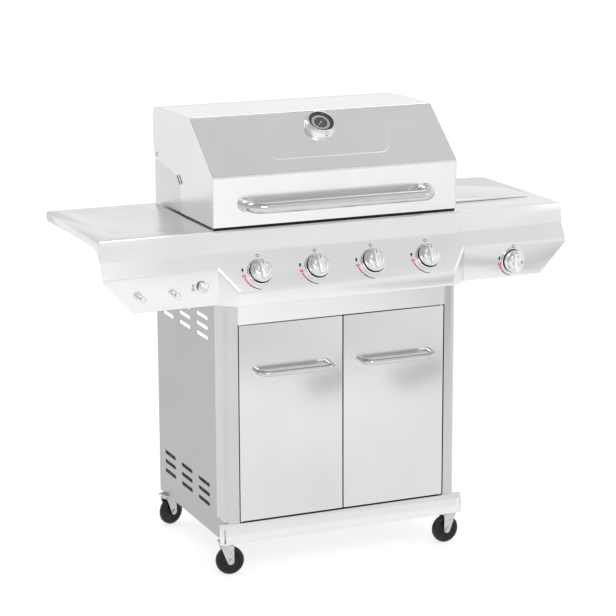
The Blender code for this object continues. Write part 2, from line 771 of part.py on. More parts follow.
def shelf_recess():
    """The left shelf's shallow pressed field."""
    margin = 0.0550
    x0, x1 = SHELF_INNER + 0.030, SHELF_OUTER - margin
    y0, y1 = BROW_Y + 0.0780, SHELF_REAR - 0.030
    step, slope = 0.0022, 0.010
    return [
        (x0, x1, y0, y1, DECK),
        (x0 + slope, x1 - slope, y0 + slope, y1 - slope, DECK - step),
    ]


def well_rings():
    """The right shelf's burner well, down to the hole for the burner's neck."""
    x1 = SHELF_OUTER - WELL_MARGIN_OUT
    x0 = x1 - SIDE_LID_LENGTH_X + 0.018
    y0, y1 = SIDE_LID_FRONT + 0.008, SIDE_LID_REAR - 0.012
    draft = 0.010
    floor = DECK - WELL_DEPTH
    middle = Vector(((x0 + x1) / 2, (y0 + y1) / 2))
    hole = 0.020
    return [
        (x0, x1, y0, y1, DECK),
        (x0 + draft, x1 - draft, y0 + draft, y1 - draft, floor),
        (middle.x - hole, middle.x + hole, middle.y - hole, middle.y + hole, floor),
    ]


def add_shelf(grill, side, name, well=None):
    corners, faces = shelf_skin(side, well)
    shelf = folded(corners, faces, name, radius=0.003)
    bracket_x = (CABINET_HALF + TOUCH, SHELF_INNER + 0.004)
    hanger_top = DECK - SHEET / 2
    hanger_low = DECK - 0.085
    y0, y1 = CABINET_FRONT + POST_SIDE + 0.01, SHELF_REAR - 0.02
    pieces = []
    spans = (
        ((SHELF_INNER, SHELF_INNER + SHEET), (hanger_low, hanger_top)),
        (bracket_x, (hanger_low, hanger_low + SHEET)),
    )
    for (x0, x1), (z0, z1) in spans:
        ends = sorted((side * x0, side * x1))
        pieces.append(block((ends[0], y0, z0), (ends[1], y1, z1)))
    shelf = fused(shelf, *pieces)
    if side > 0:
        _, place, axis = knob_places()[-1]
        shelf = cut(shelf, stem_hole(place, axis, 2 * STEM_RADIUS))
    else:
        shelf = cut(shelf, stem_hole(button_place(), (0, -1, 0), 0.0075))
    grill.add(shelf, name, "frame", "stainless", (side * SHELF_INNER, 0, DECK))


def add_tool_pegs(grill):
    """Two round-headed pegs on the left apron that tools hang from."""
    for number, from_outer in ((1, 0.0970), (2, 0.1900)):
        place = Vector((-SHELF_OUTER + from_outer, APRON_Y - TOUCH, APRON_TOP - 0.0535))
        profile = [
            (0, 0), (0.0090, 0), (0.0090, 0.003), (0.0045, 0.005), (0.0045, 0.018),
            (0.0088, 0.021), (0.0088, 0.025), (0.0060, 0.028), (0, 0.028),
        ]
        grill.add(oriented(turned(profile, 24), place, (0, -1, 0)), f"tool_peg_{number}", "frame", "chrome")


def add_side_burner(grill):
    """The burner, its pan support, and the cover that closes the well."""
    rings = well_rings()
    x0, x1, y0, y1, floor = rings[1]
    hx, hy = (x0 + x1) / 2, (y0 + y1) / 2
    head = turned([
        (0, -0.020), (0.0110, -0.020), (0.0110, 0.003), (0.0400, 0.006), (0.0430, 0.012),
        (0.0380, 0.018), (0.0150, 0.020), (0, 0.020),
    ], 28)
    head.location = (hx, hy, floor)
    neck_y = APRON_Y + MANIFOLD_DEPTH + 0.010
    venturi = tube([(hx, hy, floor - 0.018), (hx, neck_y, floor - 0.018)], 0.0085)
    burner = fused(baked(head), venturi)
    grill.add(burner, "side_burner", "frame", "cast_iron", (hx, hy, floor))

    low, high = DECK - 0.0120, DECK - 0.0060
    half = 0.0030
    bars = [
        block((x0 + 0.002, hy - half, low), (x1 - 0.002, hy + half, high)),
        block((hx - half, y0 + 0.002, low), (hx + half, y1 - 0.002, high)),
    ]
    for sign_x in (-1, 1):
        middle = hx + sign_x * 0.065
        bars.append(block((middle - half, y0 + 0.002, low), (middle + half, y1 - 0.002, high)))
    for sign_y in (-1, 1):
        middle = hy + sign_y * 0.095
        bars.append(block((x0 + 0.002, middle - half, low), (x1 - 0.002, middle + half, high)))
    for sign_x in (-1, 1):
        for sign_y in (-1, 1):
            px, py = hx + sign_x * 0.065, hy + sign_y * 0.095
            bars.append(block((px - half, py - half, floor + TOUCH), (px + half, py + half, high)))
    support = fused(bars[0], *bars[1:])
    grill.add(support, "pan_support", "frame", "cast_iron", (hx, hy, floor))

    lid_x1 = SHELF_OUTER - SIDE_LID_MARGIN_OUT
    lid_x0 = lid_x1 - SIDE_LID_LENGTH_X
    base = DECK + 0.0007
    top = DECK + SIDE_LID_HEIGHT
    cover = stepped_rings([
        (lid_x0, lid_x1, SIDE_LID_FRONT, SIDE_LID_REAR, base),
        (lid_x0, lid_x1, SIDE_LID_FRONT, SIDE_LID_REAR, top),
    ], "cover", radius=0.0022, thickness=0.0012)
    hinge = ((lid_x0 + lid_x1) / 2, SIDE_LID_REAR, base)
    grill.group("side_burner_lid", hinge)
    grill.add(cover, "side_burner_lid", "side_burner_lid", "stainless")


# ---------------------------------------------------------------- cook box

def add_firebox(grill):
    """Open-topped tub with a rim, ledges for the grates, a funnel floor and a low back wall."""
    top = DECK - BOX_RIM_DROP
    rim = 0.0095
    foot = top - BOX_WALL_HEIGHT
    drain = foot - BOX_FUNNEL_HEIGHT
    half, front, rear = BOX_HALF, BOX_FRONT, BOX_REAR
    box = stepped_rings([
        (-half - rim, half + rim, front - rim, rear + rim, top),
        (-half, half, front, rear, top),
        (-half, half, front, rear, foot),
        (-0.10, 0.10, -0.04, 0.08, drain),
    ], "box", outward=False, thickness=SHEET, floor=False)
    ledge_top = DECK - GRATE_BELOW_TOP - 0.0085
    inside = half - SHEET + 0.0004
    pieces = []
    for y0, y1 in ((front + 0.0010, front + 0.0160), (rear - 0.0160, rear - 0.0010)):
        pieces.append(block((-inside, y0, ledge_top - 0.002), (inside, y1, ledge_top)))
    wall_y = rear + rim
    pieces.append(block((-half - rim, wall_y - SHEET, top - SHEET), (half + rim, wall_y, top + 0.0950)))
    box = fused(box, *pieces)
    burner_z = DECK - BURNER_BELOW_TOP
    hole_radius = BURNER_RADIUS + 0.002
    for x in KNOB_XS:
        hole = turned([(0, -0.01), (hole_radius, -0.01), (hole_radius, 0.01), (0, 0.01)], 16)
        box = cut(box, oriented(hole, (x, front, burner_z), (0, 1, 0)))
    grill.add(box, "firebox", "frame", "stainless_dark", (0, 0, top))


def add_burners(grill):
    z = DECK - BURNER_BELOW_TOP
    mouth = BOX_FRONT - 0.0100
    end = BOX_REAR - 0.0220
    mix = BURNER_RADIUS * 0.72
    for i, x in enumerate(KNOB_XS):
        profile = [
            (0, 0), (BURNER_RADIUS * 0.96, 0), (BURNER_RADIUS * 0.96, 0.006), (mix, 0.014), (mix, 0.045),
            (BURNER_RADIUS, 0.070), (BURNER_RADIUS, end - mouth - 0.003),
            (BURNER_RADIUS - 0.003, end - mouth), (0, end - mouth),
        ]
        burner = oriented(turned(profile, 16), (x, mouth, z), (0, 1, 0))
        grill.add(burner, f"burner_{i + 1}", "frame", "stainless_dark", (x, mouth, z))
        spread, rise = 0.050, 0.030
        low = z + BURNER_RADIUS + 0.012
        points = [(x - spread, low), (x - 0.004, low + rise), (x + 0.004, low + rise), (x + spread, low)]
        tent = prism(bent_strip(points[::-1], 0.0012), "Y", BOX_FRONT + 0.018, BOX_REAR - 0.018)
        grill.add(tent, f"heat_tent_{i + 1}", "frame", "stainless_dark", (x, 0, low))


def add_cooking_grates(grill):
    """Two drop-in grates of bars across two cross bars."""
    low, high = DECK - GRATE_BELOW_TOP - 0.0080, DECK - GRATE_BELOW_TOP
    inner_half = BOX_HALF - SHEET - 0.0020
    y0, y1 = BOX_FRONT + SHEET + 0.0020, BOX_REAR - SHEET - 0.0020
    width = inner_half - 0.0010
    for word, start in (("left", -inner_half), ("right", 0.0010)):
        pitch = (width - 0.007) / (GRATE_BARS - 1)
        bars = []
        for i in range(GRATE_BARS):
            x = start + i * pitch
            bars.append(block((x, y0, low + 0.0025), (x + 0.007, y1, high)))
        cross = [
            block((start, y, low), (start + width, y + 0.008, high - 0.0015))
            for y in (y0, (y0 + y1) / 2 - 0.004, y1 - 0.008)
        ]
        grate = fused(cross[0], *bars)
        grate = fused(grate, *cross[1:])
        grill.add(grate, f"cooking_grate_{word}", "frame", "cast_iron", (start, 0, low))


def add_warming_rack(grill):
    """A wire shelf above the rear of the grates, on two legged ends that stand on the firebox rim."""
    z = DECK + 0.095
    half = BOX_HALF + 0.004
    y0, y1 = 0.050, 0.190
    wire = 0.0040
    rim_top = DECK - BOX_RIM_DROP + SHEET + TOUCH
    pieces = [block((-half, y0, z), (half, y0 + wire, z + wire))]
    for i in range(1, 7):
        y = y0 + (y1 - y0) * i / 6
        pieces.append(block((-half, y, z), (half, y + wire, z + wire)))
    for side in (-1, 1):
        outer = side * half
        ends = sorted((outer, outer - side * wire))
        pieces.append(block((ends[0], y0, z - 0.0005), (ends[1], y1 + wire, z + wire + 0.0005)))
        for y in (y0, y1):
            pieces.append(block((ends[0], y - 0.0005, rim_top), (ends[1], y + wire + 0.0005, z + wire)))
    rack = fused(pieces[0], *pieces[1:])
    grill.add(rack, "warming_rack", "frame", "chrome", (0, y0, z))


def add_grease_tray(grill):
    """A drawer under the firebox, open to the rear, with a cup under its drain."""
    z = DECK - TRAY_BELOW_TOP + TOUCH
    half = CABINET_HALF - SHEET - 0.0290
    front, rear = BOX_FRONT + 0.010, CABINET_REAR - 0.003
    grill.group("grease_tray", (0, rear, z))
    tray = stepped_rings([
        (-half, half, front, rear, z),
        (-half + 0.020, half - 0.020, front + 0.008, rear - 0.014, z),
        (-half + 0.024, half - 0.024, front + 0.012, rear - 0.018, z - 0.6 * TRAY_DEPTH),
        (-0.018, 0.018, 0.002, 0.038, z - TRAY_DEPTH),
    ], "tray", outward=False, floor=False)
    grill.add(tray, "grease_tray", "grease_tray", "stainless_dark")
    rim = z - TRAY_DEPTH - SHEET - TOUCH
    wall = 0.0012
    profile = [
        (0, -CUP_HEIGHT), (CUP_RADIUS - 0.004, -CUP_HEIGHT), (CUP_RADIUS, 0),
        (CUP_RADIUS - wall, 0), (CUP_RADIUS - 0.004 - wall, -CUP_HEIGHT + wall), (0, -CUP_HEIGHT + wall),
    ]
    cup = turned(profile, 24)
    cup.location = (0, 0.020, rim)
    grill.add(cup, "grease_cup", "grease_tray", "stainless_dark")


# ---------------------------------------------------------------- hood

def hood_top_points():
    """The hood's outline from the foot of its front, over the ridge, to the foot of its back."""
    crown = 0.0030
    back_corner = 0.0180
    points = [(HOOD_FRONT, HOOD_BOTTOM), (HOOD_FRONT, HOOD_SLOPE_FOOT), (RIDGE_Y, RIDGE_Z)]
    span = HOOD_REAR - back_corner - RIDGE_Y
    for i in range(1, 6):
        share = i / 5
        points.append((RIDGE_Y + span * share, RIDGE_Z + crown * math.sin(math.pi * share) - crown * share))
    points += arc((HOOD_REAR - back_corner, points[-1][1] - back_corner), back_corner, 90, 0, 4)[1:]
    return points


def add_hood(grill):
    """The lid: one wrapped shell, two end plates, handle and thermometer, all on the rear hinge."""
    grill.group("hood", (0, HINGE_Y, HINGE_Z))
    top = hood_top_points()
    back_foot = HINGE_Z + 0.0300
    flange = 0.012
    outline = [(HOOD_FRONT + flange, HOOD_BOTTOM)] + top + [(HOOD_REAR, back_foot)]
    half = HOOD_HALF - SHEET - TOUCH
    shell = prism(bent_strip(outline[::-1]), "X", -half, half)
    grill.add(shell, "hood_shell", "hood", "stainless")

    ear = 0.0140
    notch = HOOD_BOTTOM + 0.0950
    plate = [(HOOD_FRONT, HOOD_BOTTOM)] + top[1:]
    plate += [(HOOD_REAR, back_foot), (HINGE_Y + ear, HINGE_Z)]
    plate += arc((HINGE_Y, HINGE_Z), ear, 0, -100, 5)[1:]
    plate += [(HINGE_Y - 0.0400, HINGE_Z - 0.0200), (HINGE_Y - 0.1180, HINGE_Z - 0.0260)]
    plate += [(HINGE_Y - 0.1570, notch), (HINGE_Y - 0.1878, notch - 0.0210), (HINGE_Y - 0.1923, HOOD_BOTTOM)]
    for side, word in ((-1, "left"), (1, "right")):
        ends = sorted((side * (HOOD_HALF - SHEET), side * HOOD_HALF))
        end_plate = prism(plate, "X", *ends)
        inner = TOUCH - HINGE_GAP - SHEET
        pin = turned([
            (0, inner), (0.0045, inner), (0.0045, -0.0005), (0.0070, -0.0005), (0.0070, 0.003), (0, 0.003),
        ], 16)
        pin = oriented(pin, (side * HOOD_HALF, HINGE_Y, HINGE_Z), (side, 0, 0))
        end_plate = fused(end_plate, pin)
        grill.add(end_plate, f"hood_end_{word}", "hood", "stainless_dark")
    add_hood_handle(grill)
    add_thermometer(grill)


def add_hood_handle(grill):
    face = HOOD_FRONT - TOUCH
    z = HOOD_BOTTOM + HOOD_HANDLE_UP
    bar_y = HOOD_FRONT - HOOD_HANDLE_REACH
    half = HOOD_HANDLE_HALF
    corners = [
        (-half, face, z), (-half, bar_y, z - HOOD_HANDLE_DROP),
        (half, bar_y, z - HOOD_HANDLE_DROP), (half, face, z),
    ]
    bar = tube(rounded_path(corners, 2.8 * HOOD_HANDLE_RADIUS), HOOD_HANDLE_RADIUS)
    bar = cut(bar, block((-half - 0.1, face, z - 0.1), (half + 0.1, face + 0.1, z + 0.1)))
    for side in (-1, 1):
        flange = HOOD_HANDLE_RADIUS + 0.0025
        boss = turned([(0, 0), (flange, 0), (flange, 0.004), (flange - 0.002, 0.006), (0, 0.006)], 24)
        bar = fused(bar, oriented(boss, (side * half, face, z), (0, -1, 0)))
    grill.add(bar, "hood_handle", "hood", "chrome")


def add_thermometer(grill):
    along = Vector((0, math.cos(HOOD_SLOPE_ANGLE), math.sin(HOOD_SLOPE_ANGLE)))
    normal = Vector((0, -math.sin(HOOD_SLOPE_ANGLE), math.cos(HOOD_SLOPE_ANGLE)))
    place = Vector((0, RIDGE_Y, RIDGE_Z)) - along * THERMOMETER_FROM_RIDGE + normal * TOUCH
    rim = THERMOMETER_RADIUS - 0.006
    profile = [
        (0, 0), (THERMOMETER_RADIUS, 0), (THERMOMETER_RADIUS, 0.004),
        (rim, THERMOMETER_HEIGHT - 0.004), (rim, THERMOMETER_HEIGHT), (rim - 0.003, THERMOMETER_HEIGHT),
        (rim - 0.0035, THERMOMETER_HEIGHT - 0.003), (0, THERMOMETER_HEIGHT - 0.003),
    ]
    grill.add(oriented(turned(profile, 36), place, normal), "thermometer", "hood", "chrome")


def add_hinge_plates(grill):
    """The fixed plates inside the hood's ends that carry its hinge."""
    outer = HOOD_HALF - SHEET - HINGE_GAP
    bottom = DECK - 0.0700
    front, rear = HINGE_Y - 0.215, HINGE_Y + 0.0225
    outline = [(front, bottom), (rear, bottom), (rear, HINGE_Z - 0.0240)]
    outline += arc((HINGE_Y, HINGE_Z), 0.0130, -30, 150, 8)
    outline += [(HINGE_Y - 0.0400, HINGE_Z - 0.0080), (HINGE_Y - 0.1330, HINGE_Z - 0.0200)]
    outline += [(HINGE_Y - 0.1600, HINGE_Z - 0.0450), (HINGE_Y - 0.1800, HINGE_Z - 0.0520)]
    outline += [(front, DECK + 0.020)]
    for side, word in ((-1, "left"), (1, "right")):
        plate = prism(outline, "X", *sorted((side * (outer - SHEET), side * outer)))
        grill.add(plate, f"hinge_plate_{word}", "frame", "stainless_dark")


# ---------------------------------------------------------------- casters

def caster_places():
    x = CABINET_HALF - CASTER_X_INSET
    front = CABINET_FRONT + CASTER_FRONT_INSET
    rear = CABINET_REAR - CASTER_REAR_INSET
    return [
        ("front_left", (-x, front), 1, -8.0),
        ("front_right", (x, front), -1, 4.0),
        ("rear_left", (-x, rear), 1, 24.0),
        ("rear_right", (x, rear), -1, 15.0),
    ]


def fork_shape(trail):
    """Plate, swivel race, two tapered legs and the axle, about the swivel's axis; the trail is along X."""
    half_plate = CASTER_PLATE / 2
    plate_low = CASTER_HEIGHT - 0.0025
    crown_top = plate_low - 0.0060
    crown_low = crown_top - 0.0030
    fork = block((-half_plate, -half_plate, plate_low), (half_plate, half_plate, CASTER_HEIGHT))
    race_radius = 0.45 * CASTER_PLATE
    race = turned([
        (0, crown_top - 0.001), (race_radius, crown_top - 0.001), (race_radius, plate_low + 0.001),
        (0, plate_low + 0.001),
    ], 20)
    leg_gap = WHEEL_WIDTH / 2 + 0.0022
    leg = 0.0022
    crown = block((-FORK_WIDTH / 2, -leg_gap - leg, crown_low), (FORK_WIDTH / 2, leg_gap + leg, crown_top))
    fork = fused(fork, race, crown)
    tip = 0.0095
    rim = math.degrees(math.asin(tip / (crown_low - WHEEL_RADIUS)))
    outline = [(FORK_WIDTH / 2, crown_top), (-FORK_WIDTH / 2, crown_top)]
    outline += arc((trail, WHEEL_RADIUS), tip, 180 + rim, 360 - rim, 8)
    for sign in (-1, 1):
        ends = sorted((sign * leg_gap, sign * (leg_gap + leg)))
        fork = fused(fork, prism(outline, "Y", *ends))
    reach = leg_gap + leg + 0.003
    axle = turned([(0, -reach), (AXLE_RADIUS, -reach), (AXLE_RADIUS, reach), (0, reach)], 16)
    return fused(fork, oriented(axle, (trail, 0, WHEEL_RADIUS), (0, 1, 0)))


def wheel_shape():
    """A solid tyre and hub with a running bore, turned about its own Z."""
    half, hub = WHEEL_WIDTH / 2, WHEEL_WIDTH / 2 + 0.0012
    bore = AXLE_RADIUS + 0.0003
    r = WHEEL_RADIUS
    profile = [
        (bore, -hub), (0.0110, -hub), (0.0120, -half + 0.003), (r - 0.012, -half + 0.003),
        (r - 0.008, -half), (r - 0.003, -half), (r, -half + 0.003),
        (r, half - 0.003), (r - 0.003, half), (r - 0.008, half),
        (r - 0.012, half - 0.003), (0.0120, half - 0.003), (0.0110, hub), (bore, hub),
    ]
    return turned(profile, 32, ring=True)


def add_casters(grill):
    for word, (x, y), trail_sign, swivel in caster_places():
        turn = Matrix.Rotation(math.radians(swivel), 4, "Z")
        origin = Vector((x, y, 0))
        grill.group(f"fork_{word}", (x, y, CASTER_HEIGHT))
        fork = fork_shape(trail_sign * CASTER_TRAIL)
        fork.matrix_world = Matrix.Translation(origin) @ turn
        grill.add(fork, f"caster_fork_{word}", f"fork_{word}", "zinc_plate")
        hub = origin + turn @ Vector((trail_sign * CASTER_TRAIL, 0, WHEEL_RADIUS))
        axle = turn @ Vector((0, 1, 0))
        grill.group(f"wheel_{word}", hub, f"fork_{word}")
        wheel = oriented(wheel_shape(), hub, axle)
        grill.add(wheel, f"wheel_{word}", f"wheel_{word}", "black_rubber")


def main():
    clear_scene()
    grill = Assembly()
    grill.group("frame")
    add_base_frame(grill)
    for side, word in ((-1, "left"), (1, "right")):
        add_front_post(grill, side, f"front_post_{word}")
        add_side_panel(grill, side, f"side_panel_{word}")
        add_door(grill, side, word)
    add_back_panel(grill)
    add_front_fascia(grill)
    add_control_panel(grill)
    add_knobs(grill)
    add_manifold(grill)
    add_ignition_button(grill)
    add_shelf(grill, -1, "shelf_left")
    add_shelf(grill, 1, "shelf_right", well_rings())
    add_tool_pegs(grill)
    add_side_burner(grill)
    add_firebox(grill)
    add_burners(grill)
    add_cooking_grates(grill)
    add_warming_rack(grill)
    add_grease_tray(grill)
    add_hood(grill)
    add_hinge_plates(grill)
    add_casters(grill)


main()
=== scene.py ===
"""The looks of the gas barbecue grill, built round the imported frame: brushed, polished, plated and cast
finishes, smooth pieces in place of the plain round ones, printed marks, screws and a pale studio.
Metres, +Z up, the front faces -Y."""

import json
import math

import bmesh
import bpy
from mathutils import Matrix, Vector


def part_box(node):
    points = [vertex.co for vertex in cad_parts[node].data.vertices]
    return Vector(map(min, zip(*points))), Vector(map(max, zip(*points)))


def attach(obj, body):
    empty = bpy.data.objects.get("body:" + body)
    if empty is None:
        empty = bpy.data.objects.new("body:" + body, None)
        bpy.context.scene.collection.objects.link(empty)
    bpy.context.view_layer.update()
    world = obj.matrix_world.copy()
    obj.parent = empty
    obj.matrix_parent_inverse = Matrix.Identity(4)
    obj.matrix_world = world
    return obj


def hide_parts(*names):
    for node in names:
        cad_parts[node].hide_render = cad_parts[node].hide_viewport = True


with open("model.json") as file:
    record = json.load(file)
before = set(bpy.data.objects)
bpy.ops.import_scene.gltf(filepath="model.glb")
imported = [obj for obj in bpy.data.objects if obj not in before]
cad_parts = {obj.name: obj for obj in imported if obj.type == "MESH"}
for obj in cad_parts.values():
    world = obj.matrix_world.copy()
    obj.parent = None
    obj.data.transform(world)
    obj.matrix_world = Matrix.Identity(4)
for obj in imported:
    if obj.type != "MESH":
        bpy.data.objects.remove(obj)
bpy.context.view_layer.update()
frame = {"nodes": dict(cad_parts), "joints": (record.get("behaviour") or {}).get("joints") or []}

# The viewpoint
VIEW_AZIMUTH = -23.60
VIEW_ELEVATION = 13.16
VIEW_DISTANCE = 5.966
VIEW_TARGET = Vector((0.0, -0.0735, 0.6617))
VIEW_LENS = 129.49
VIEW_SENSOR = 36.0
VIEW_SHIFT = (-0.0181, 0.0011)
VIEW_ROLL = 0.13

# Sizes of the pieces made here
INK_LIFT = 0.00012
MARK_REACH = 0.0470
OFF_MARK_UP = 0.0455
SIDE_MARK_SCALE = 0.86
IGNITION_MARK_GAP = 0.0110
SCREW_RADIUS = 0.0034
PLATE_SCREW_RADIUS = 0.0030
BACK_SCREW_RADIUS = 0.0024
HANDLE_BOSS = 0.0175
FOLD_REACH = 0.0042
FOLD_LIFT = 0.00012
# the dark block of painted shade under the hood's front
HOOD_SHADE_DEPTH = 0.0080
HOOD_SHADE_CLEARANCE = 0.0008
# the strips of painted shade in the door gaps
DOOR_SHADE_CLEARANCE = 0.0003
WHEEL_HALF = 0.0100
FORK_FACE = 0.0146
PORT_RADIUS = 0.0015
SMOOTH_ANGLE = 32
MERGE_DISTANCE = 0.00001

X_AXIS = Vector((1, 0, 0))
Y_AXIS = Vector((0, 1, 0))
Z_AXIS = Vector((0, 0, 1))

JOINTS = {joint["name"]: joint for joint in frame["joints"]}
KNOBS = ["burner_1", "burner_2", "burner_3", "burner_4", "side_burner"]
CORNERS = ["front_left", "front_right", "rear_left", "rear_right"]


# ---------------------------------------------------------------- finishes

class Shading:
    """A material's node tree, with short calls for what the finishes share."""

    def __init__(self, name, colour, roughness, metallic=1.0):
        self.material = bpy.data.materials.new(name)
        self.material.use_nodes = True
        self.nodes = self.material.node_tree.nodes
        self.links = self.material.node_tree.links
        self.shader = self.nodes["Principled BSDF"]
        self.shader.inputs["Base Color"].default_value = (*colour, 1.0)
        self.shader.inputs["Roughness"].default_value = roughness
        self.shader.inputs["Metallic"].default_value = metallic
        self.place = self.nodes.new("ShaderNodeTexCoord").outputs["Object"]

    def noise(self, scale, detail=3.0, roughness=0.55):
        """Noise over the object's own metres; a different scale on each axis stretches it."""
        mapping = self.nodes.new("ShaderNodeMapping")
        mapping.inputs["Scale"].default_value = scale
        self.links.new(self.place, mapping.inputs["Vector"])
        noise = self.nodes.new("ShaderNodeTexNoise")
        noise.inputs["Scale"].default_value = 1.0
        noise.inputs["Detail"].default_value = detail
        noise.inputs["Roughness"].default_value = roughness
        self.links.new(mapping.outputs["Vector"], noise.inputs["Vector"])
        return noise.outputs["Fac"]

    def spread(self, value, low, high, start=0.3, end=0.7):
        """The value's start to end range mapped to low to high."""
        span = self.nodes.new("ShaderNodeMapRange")
        span.inputs["From Min"].default_value = start
        span.inputs["From Max"].default_value = end
        span.inputs["To Min"].default_value = low
        span.inputs["To Max"].default_value = high
        self.links.new(value, span.inputs["Value"])
        return span.outputs["Result"]

    def colours(self, value, dark, light, start=0.3, end=0.7):
        ramp = self.nodes.new("ShaderNodeValToRGB")
        ramp.color_ramp.elements[0].position = start
        ramp.color_ramp.elements[0].color = (*dark, 1.0)
        ramp.color_ramp.elements[1].position = end
        ramp.color_ramp.elements[1].color = (*light, 1.0)
        self.links.new(value, ramp.inputs["Fac"])
        self.links.new(ramp.outputs["Color"], self.shader.inputs["Base Color"])

    def rough(self, value):
        self.links.new(value, self.shader.inputs["Roughness"])

    def bump(self, value, height, strength=1.0):
        bump = self.nodes.new("ShaderNodeBump")
        bump.inputs["Distance"].default_value = height
        bump.inputs["Strength"].default_value = strength
        self.links.new(value, bump.inputs["Height"])
        self.links.new(bump.outputs["Normal"], self.shader.inputs["Normal"])


def tinted(colour, factor):
    return tuple(min(channel * factor, 1.0) for channel in colour)


def brushed(name, colour, roughness, along="X", depth=0.000002):
    """Brushed sheet: long fine grain along one axis, and broad faint patches of wear."""
    made = Shading(name, colour, roughness)
    across, lengthwise = 900.0, 9.0
    scale = tuple(lengthwise if axis == along else across for axis in "XYZ")
    grain = made.noise(scale, 4.0)
    patches = made.noise((5.0, 5.0, 5.0), 4.0)
    made.colours(patches, tinted(colour, 0.965), tinted(colour, 1.02))
    made.rough(made.spread(grain, roughness - 0.02, roughness + 0.03))
    made.bump(grain, depth)
    return made.material


def polished(name, colour, roughness=0.07):
    """Plated or polished metal with faint hazy patches."""
    made = Shading(name, colour, roughness)
    haze = made.noise((40.0, 40.0, 40.0), 5.0)
    made.colours(haze, tinted(colour, 0.95), colour)
    made.rough(made.spread(haze, roughness, roughness + 0.06))
    return made.material


def plated(name, colour):
    """Zinc plating: small cloudy patches and fine pits."""
    made = Shading(name, colour, 0.3)
    clouds = made.noise((160.0, 160.0, 160.0), 6.0, 0.7)
    made.colours(clouds, tinted(colour, 0.72), tinted(colour, 1.1))
    made.rough(made.spread(clouds, 0.22, 0.45))
    made.bump(made.noise((900.0, 900.0, 900.0), 2.0), 0.00003)
    return made.material


def cast(name, colour):
    """Enamelled cast iron: a pebbled skin with worn, lighter high points."""
    made = Shading(name, colour, 0.55, 0.0)
    pebbles = made.noise((650.0, 650.0, 650.0), 4.0, 0.6)
    made.colours(pebbles, tinted(colour, 0.7), tinted(colour, 1.7))
    made.rough(made.spread(pebbles, 0.42, 0.68))
    made.bump(pebbles, 0.00018)
    made.shader.inputs["Specular IOR Level"].default_value = 0.55
    return made.material


def rubber(name, colour):
    """Moulded rubber: dull, slightly dusty."""
    made = Shading(name, colour, 0.5, 0.0)
    dust = made.noise((70.0, 70.0, 70.0), 6.0, 0.65)
    made.colours(dust, colour, tinted(colour, 1.9), 0.35, 0.8)
    made.rough(made.spread(dust, 0.36, 0.58))
    made.bump(made.noise((1300.0, 1300.0, 1300.0), 2.0), 0.00004)
    made.shader.inputs["Specular IOR Level"].default_value = 0.35
    return made.material


def ink(name, colour):
    made = Shading(name, colour, 0.5, 0.0)
    screen = made.noise((1800.0, 1800.0, 1800.0), 2.0)
    made.colours(screen, colour, tinted(colour, 1.25))
    made.shader.inputs["Specular IOR Level"].default_value = 0.05
    return made.material


def heated(name, colour):
    """Steel that has been hot: straw and blue tints over a dull grain."""
    made = Shading(name, colour, 0.42)
    tints = made.noise((9.0, 14.0, 9.0), 4.0)
    straw = (colour[0], colour[1] * 0.93, colour[2] * 0.80)
    made.colours(tints, straw, tinted(colour, 1.05), 0.38, 0.62)
    grain = made.noise((9.0, 700.0, 700.0), 3.0)
    made.rough(made.spread(grain, 0.34, 0.52))
    made.bump(grain, 0.00001)
    return made.material


def dial_face(name):
    made = Shading(name, (0.08, 0.08, 0.085), 0.5, 0.3)
    fine = made.noise((500.0, 500.0, 500.0), 3.0)
    made.colours(fine, (0.065, 0.065, 0.07), (0.10, 0.10, 0.105))
    return made.material


def clear_glass(name):
    made = Shading(name, (0.95, 0.97, 0.98), 0.02, 0.0)
    made.shader.inputs["Transmission Weight"].default_value = 1.0
    made.shader.inputs["IOR"].default_value = 1.45
    smears = made.noise((60.0, 60.0, 60.0), 4.0)
    made.rough(made.spread(smears, 0.01, 0.04))
    return made.material


